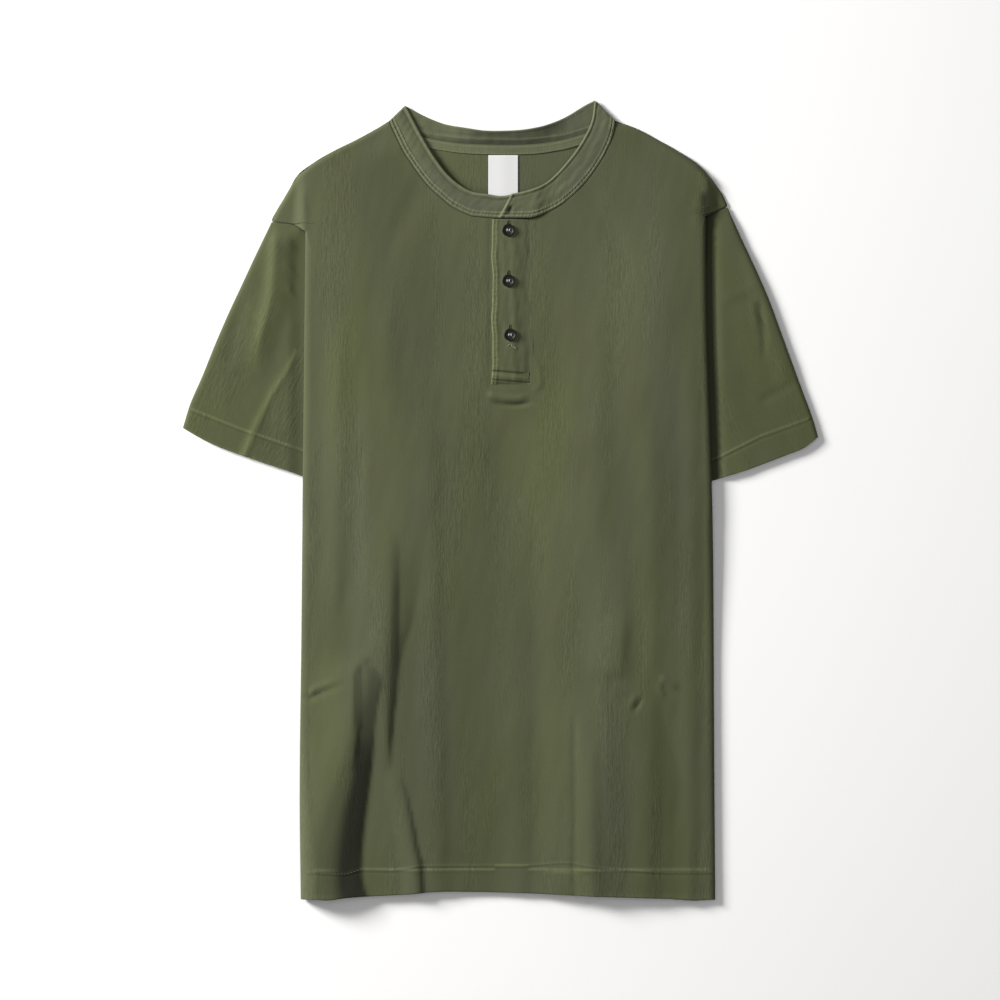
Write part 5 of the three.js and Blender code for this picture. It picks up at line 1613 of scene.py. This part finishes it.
def small_material(name, colour, other, size, rough, bump_depth, specular=0.3):
    """Thread, label, button and floor finishes: two close colours in a fine grain."""
    material, tree = empty_material(name)
    place = tree.nodes.new("ShaderNodeTexCoord").outputs["Object"]
    noise = new_node(tree, "ShaderNodeTexNoise", Vector=place, Scale=1 / size, Detail=3.0, Roughness=0.6)
    base = new_node(tree, "ShaderNodeMix", {"data_type": "RGBA"}, i0=noise.outputs[0], i6=(*colour, 1),
                    i7=(*other, 1)).outputs[2]
    rise = new_node(tree, "ShaderNodeBump", Strength=1.0, Distance=bump_depth, Height=noise.outputs[0])
    roughness = maths(tree, "MULTIPLY_ADD", noise.outputs[0], 0.15, rough)
    put_surface(tree, Base_Color=base, Roughness=roughness, Specular_IOR_Level=specular,
                Normal=rise.outputs[0])
    return material


# Camera, light and floor
PIXEL = 0.88                # millimetres of the shirt to a pixel of the photograph
# The camera's place is in metres, its sensor in millimetres and its frame in pixels
CAMERA = {"x": -0.00044, "y": -0.00088, "height": 4.0, "sensor": 36.0, "frame": 1000}
FLOOR_HALF, FLOOR_Z = 3.0, -0.0003


def camera():
    data = bpy.data.cameras.new("Camera")
    data.sensor_width = CAMERA["sensor"]
    data.lens = CAMERA["sensor"] * CAMERA["height"] / (PIXEL * MM * CAMERA["frame"])
    data.clip_end = 20
    thing = in_scene("Camera", data)
    thing.location = (CAMERA["x"], CAMERA["y"], CAMERA["height"])
    bpy.context.scene.camera = thing


def area_light(name, place, width, power, colour):
    """A square light that faces the middle of the shirt."""
    data = bpy.data.lights.new(name, "AREA")
    data.size = width
    data.energy = power
    data.color = colour
    thing = in_scene(name, data)
    thing.location = place
    thing.rotation_euler = (-Vector(place)).to_track_quat("-Z", "Y").to_euler()


def studio():
    """A low light from the upper left, with a weak one overhead and a soft surround."""
    area_light("Key", (-2.75, 1.35, 1.4), 1.0, 222, (1.0, 0.99, 0.97))
    area_light("Overhead", (0.1, -0.1, 2.6), 2.0, 13, (1, 1, 1))
    world = bpy.data.worlds.new("Studio")
    world.use_nodes = True
    background = world.node_tree.nodes["Background"]
    background.inputs["Color"].default_value = (1, 1, 1, 1)
    background.inputs["Strength"].default_value = 0.22
    bpy.context.scene.world = world
    bpy.context.scene.view_settings.view_transform = "Standard"
    bpy.context.scene.view_settings.look = "None"


def floor():
    corners = [(x * FLOOR_HALF, y * FLOOR_HALF, FLOOR_Z) for x, y in ((-1, -1), (1, -1), (1, 1), (-1, 1))]
    thing = mesh_object("floor", corners, [(0, 1, 2, 3)])
    pale, paler = (0.90, 0.90, 0.90), (0.92, 0.92, 0.92)
    thing.data.materials.append(small_material("Pale floor", pale, paler, 0.4, 0.8, 0.0))


# The shirt, piece by piece
camera()
studio()
floor()

# Knits by grey and green dye, then small finishes by two colours, grain, roughness and relief
knit = knit_group()
body_knit = knit_material("Olive knit", knit, (0.0780, 0.0850, 0.0490), (0.0780, 0.0870, 0.0365))
sleeve_knit = knit_material("Olive knit sleeve", knit, (0.0730, 0.0805, 0.0440), (0.0740, 0.0840, 0.0330))
band_knit = knit_material("Olive neckband", knit, (0.0840, 0.0910, 0.0600), (0.0880, 0.0970, 0.0500),
                          rib=0.35, crinkle=0.5)
tape_cloth = knit_material("Olive tape", knit, (0.099, 0.108, 0.062), (0.104, 0.115, 0.060),
                           rib=0.2, crinkle=0.4, fuzz=0.8)
THREAD_RELIEF = 0.00005
thread = small_material("Olive thread", (0.105, 0.113, 0.065), (0.165, 0.174, 0.108),
                        0.004, 0.7, THREAD_RELIEF)
dark_thread = small_material("Buttonhole thread", (0.040, 0.044, 0.024), (0.080, 0.087, 0.048),
                             0.003, 0.75, THREAD_RELIEF)
loose_fibre = small_material("Loose thread", (0.30, 0.31, 0.24), (0.36, 0.37, 0.30),
                             0.004, 0.7, THREAD_RELIEF)
cloth_thread = small_material("Cloth coloured thread", (0.085, 0.093, 0.050), (0.120, 0.130, 0.074),
                              0.004, 0.75, THREAD_RELIEF)
slot_dark = small_material("Buttonhole shadow", (0.006, 0.006, 0.004), (0.010, 0.010, 0.006),
                           0.003, 0.9, 0.00002)
label_satin = small_material("White woven label", (0.60, 0.60, 0.605), (0.66, 0.66, 0.665),
                             0.0011, 0.6, 0.00004)
button_black = small_material("Near black button", (0.0030, 0.0029, 0.0022), (0.007, 0.0065, 0.005),
                              0.0035, 0.38, 0.00002, specular=0.28)
button_thread = small_material("Pale button thread", (0.42, 0.43, 0.37), (0.60, 0.61, 0.55),
                               0.0012, 0.6, THREAD_RELIEF)
row_tree = stitch_tree()


def dress(thing, material, slot, *nodes):
    """Gives a piece its finish, its body and the nodes that it stands for."""
    thing.data.materials.clear()
    thing.data.materials.append(material)
    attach(thing, "root")
    if nodes:
        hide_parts(*nodes)
    return thing


def sewn(name, lines, thread, slot, *way):
    """A piece of stitches; its way is their spacing, length, width and sway, and the seed."""
    return dress(stitches(name, lines, row_tree, thread, *way), thread, slot)


front = dress(front_panel(), body_knit, "cloth", "front_body")
back = dress(back_panel(), body_knit, "cloth", "back_body")
left_sleeve = dress(sleeve(LEFT, "sleeve_cloth_left"), sleeve_knit, "cloth", "left_sleeve")
right_sleeve = dress(sleeve(RIGHT, "sleeve_cloth_right"), sleeve_knit, "cloth", "right_sleeve")
bands = [dress(left_band(), band_knit, "band", "neckband_front_left"),
         dress(right_band(), band_knit, "band", "neckband_front_right")]
rear_band = dress(back_band(), band_knit, "band", "neckband_back")
tape = dress(neck_tape(), tape_cloth, "tape", "neck_tape")
label = dress(neck_label(), label_satin, "label", "neck_label")
placket = [dress(placket_top(), body_knit, "cloth", "placket_top"),
           dress(placket_under(), body_knit, "cloth", "placket_under")]
buttons = [dress(button(name, x, y), button_black, "button", f"button_{i + 1}")
           for i, (name, x, y) in enumerate(BUTTONS)]
slits = [dress(slit(f"buttonhole_{i + 1}", x, y), slot_dark, "cloth")
         for i, (_, x, y) in enumerate(BUTTONS)]

front_threads = [
    sewn("neckband_stitches", band_rows(), thread, "band", 2.5, 2.5, 0.55, 0.12, 3),
    sewn("placket_stitches", placket_rows(), thread, "cloth", 3.0, 2.3, 0.6, 0.14, 4),
    sewn("hem_stitches", hem_rows(), cloth_thread, "cloth", 3.0, 2.8, 0.6, 0.1, 5),
    sewn("loose_thread", loose_thread_rows(), loose_fibre, "cloth", 0.3, 0.6, 0.34, 0.2, 13),
    sewn("buttonhole_stitches", buttonhole_rows(), dark_thread, "cloth", 0.55, 0.9, 0.9, 1.4, 6),
    sewn("button_threads", button_thread_rows(), button_thread, "cloth", 0.3, 0.6, 0.44, 0.1, 7)]
back_threads = [
    sewn("tape_stitches", tape_rows(), thread, "tape", 2.8, 2.2, 0.5, 0.1, 8),
    sewn("rear_band_stitches", rear_band_rows(), thread, "band", 2.8, 2.2, 0.5, 0.1, 9)]
cuff_threads = [
    sewn("cuff_stitches_left", cuff_rows(LEFT), cloth_thread, "cloth", 3.0, 2.7, 0.6, 0.12, 10),
    sewn("cuff_stitches_right", cuff_rows(RIGHT), cloth_thread, "cloth", 3.0, 2.7, 0.6, 0.12, 11)]
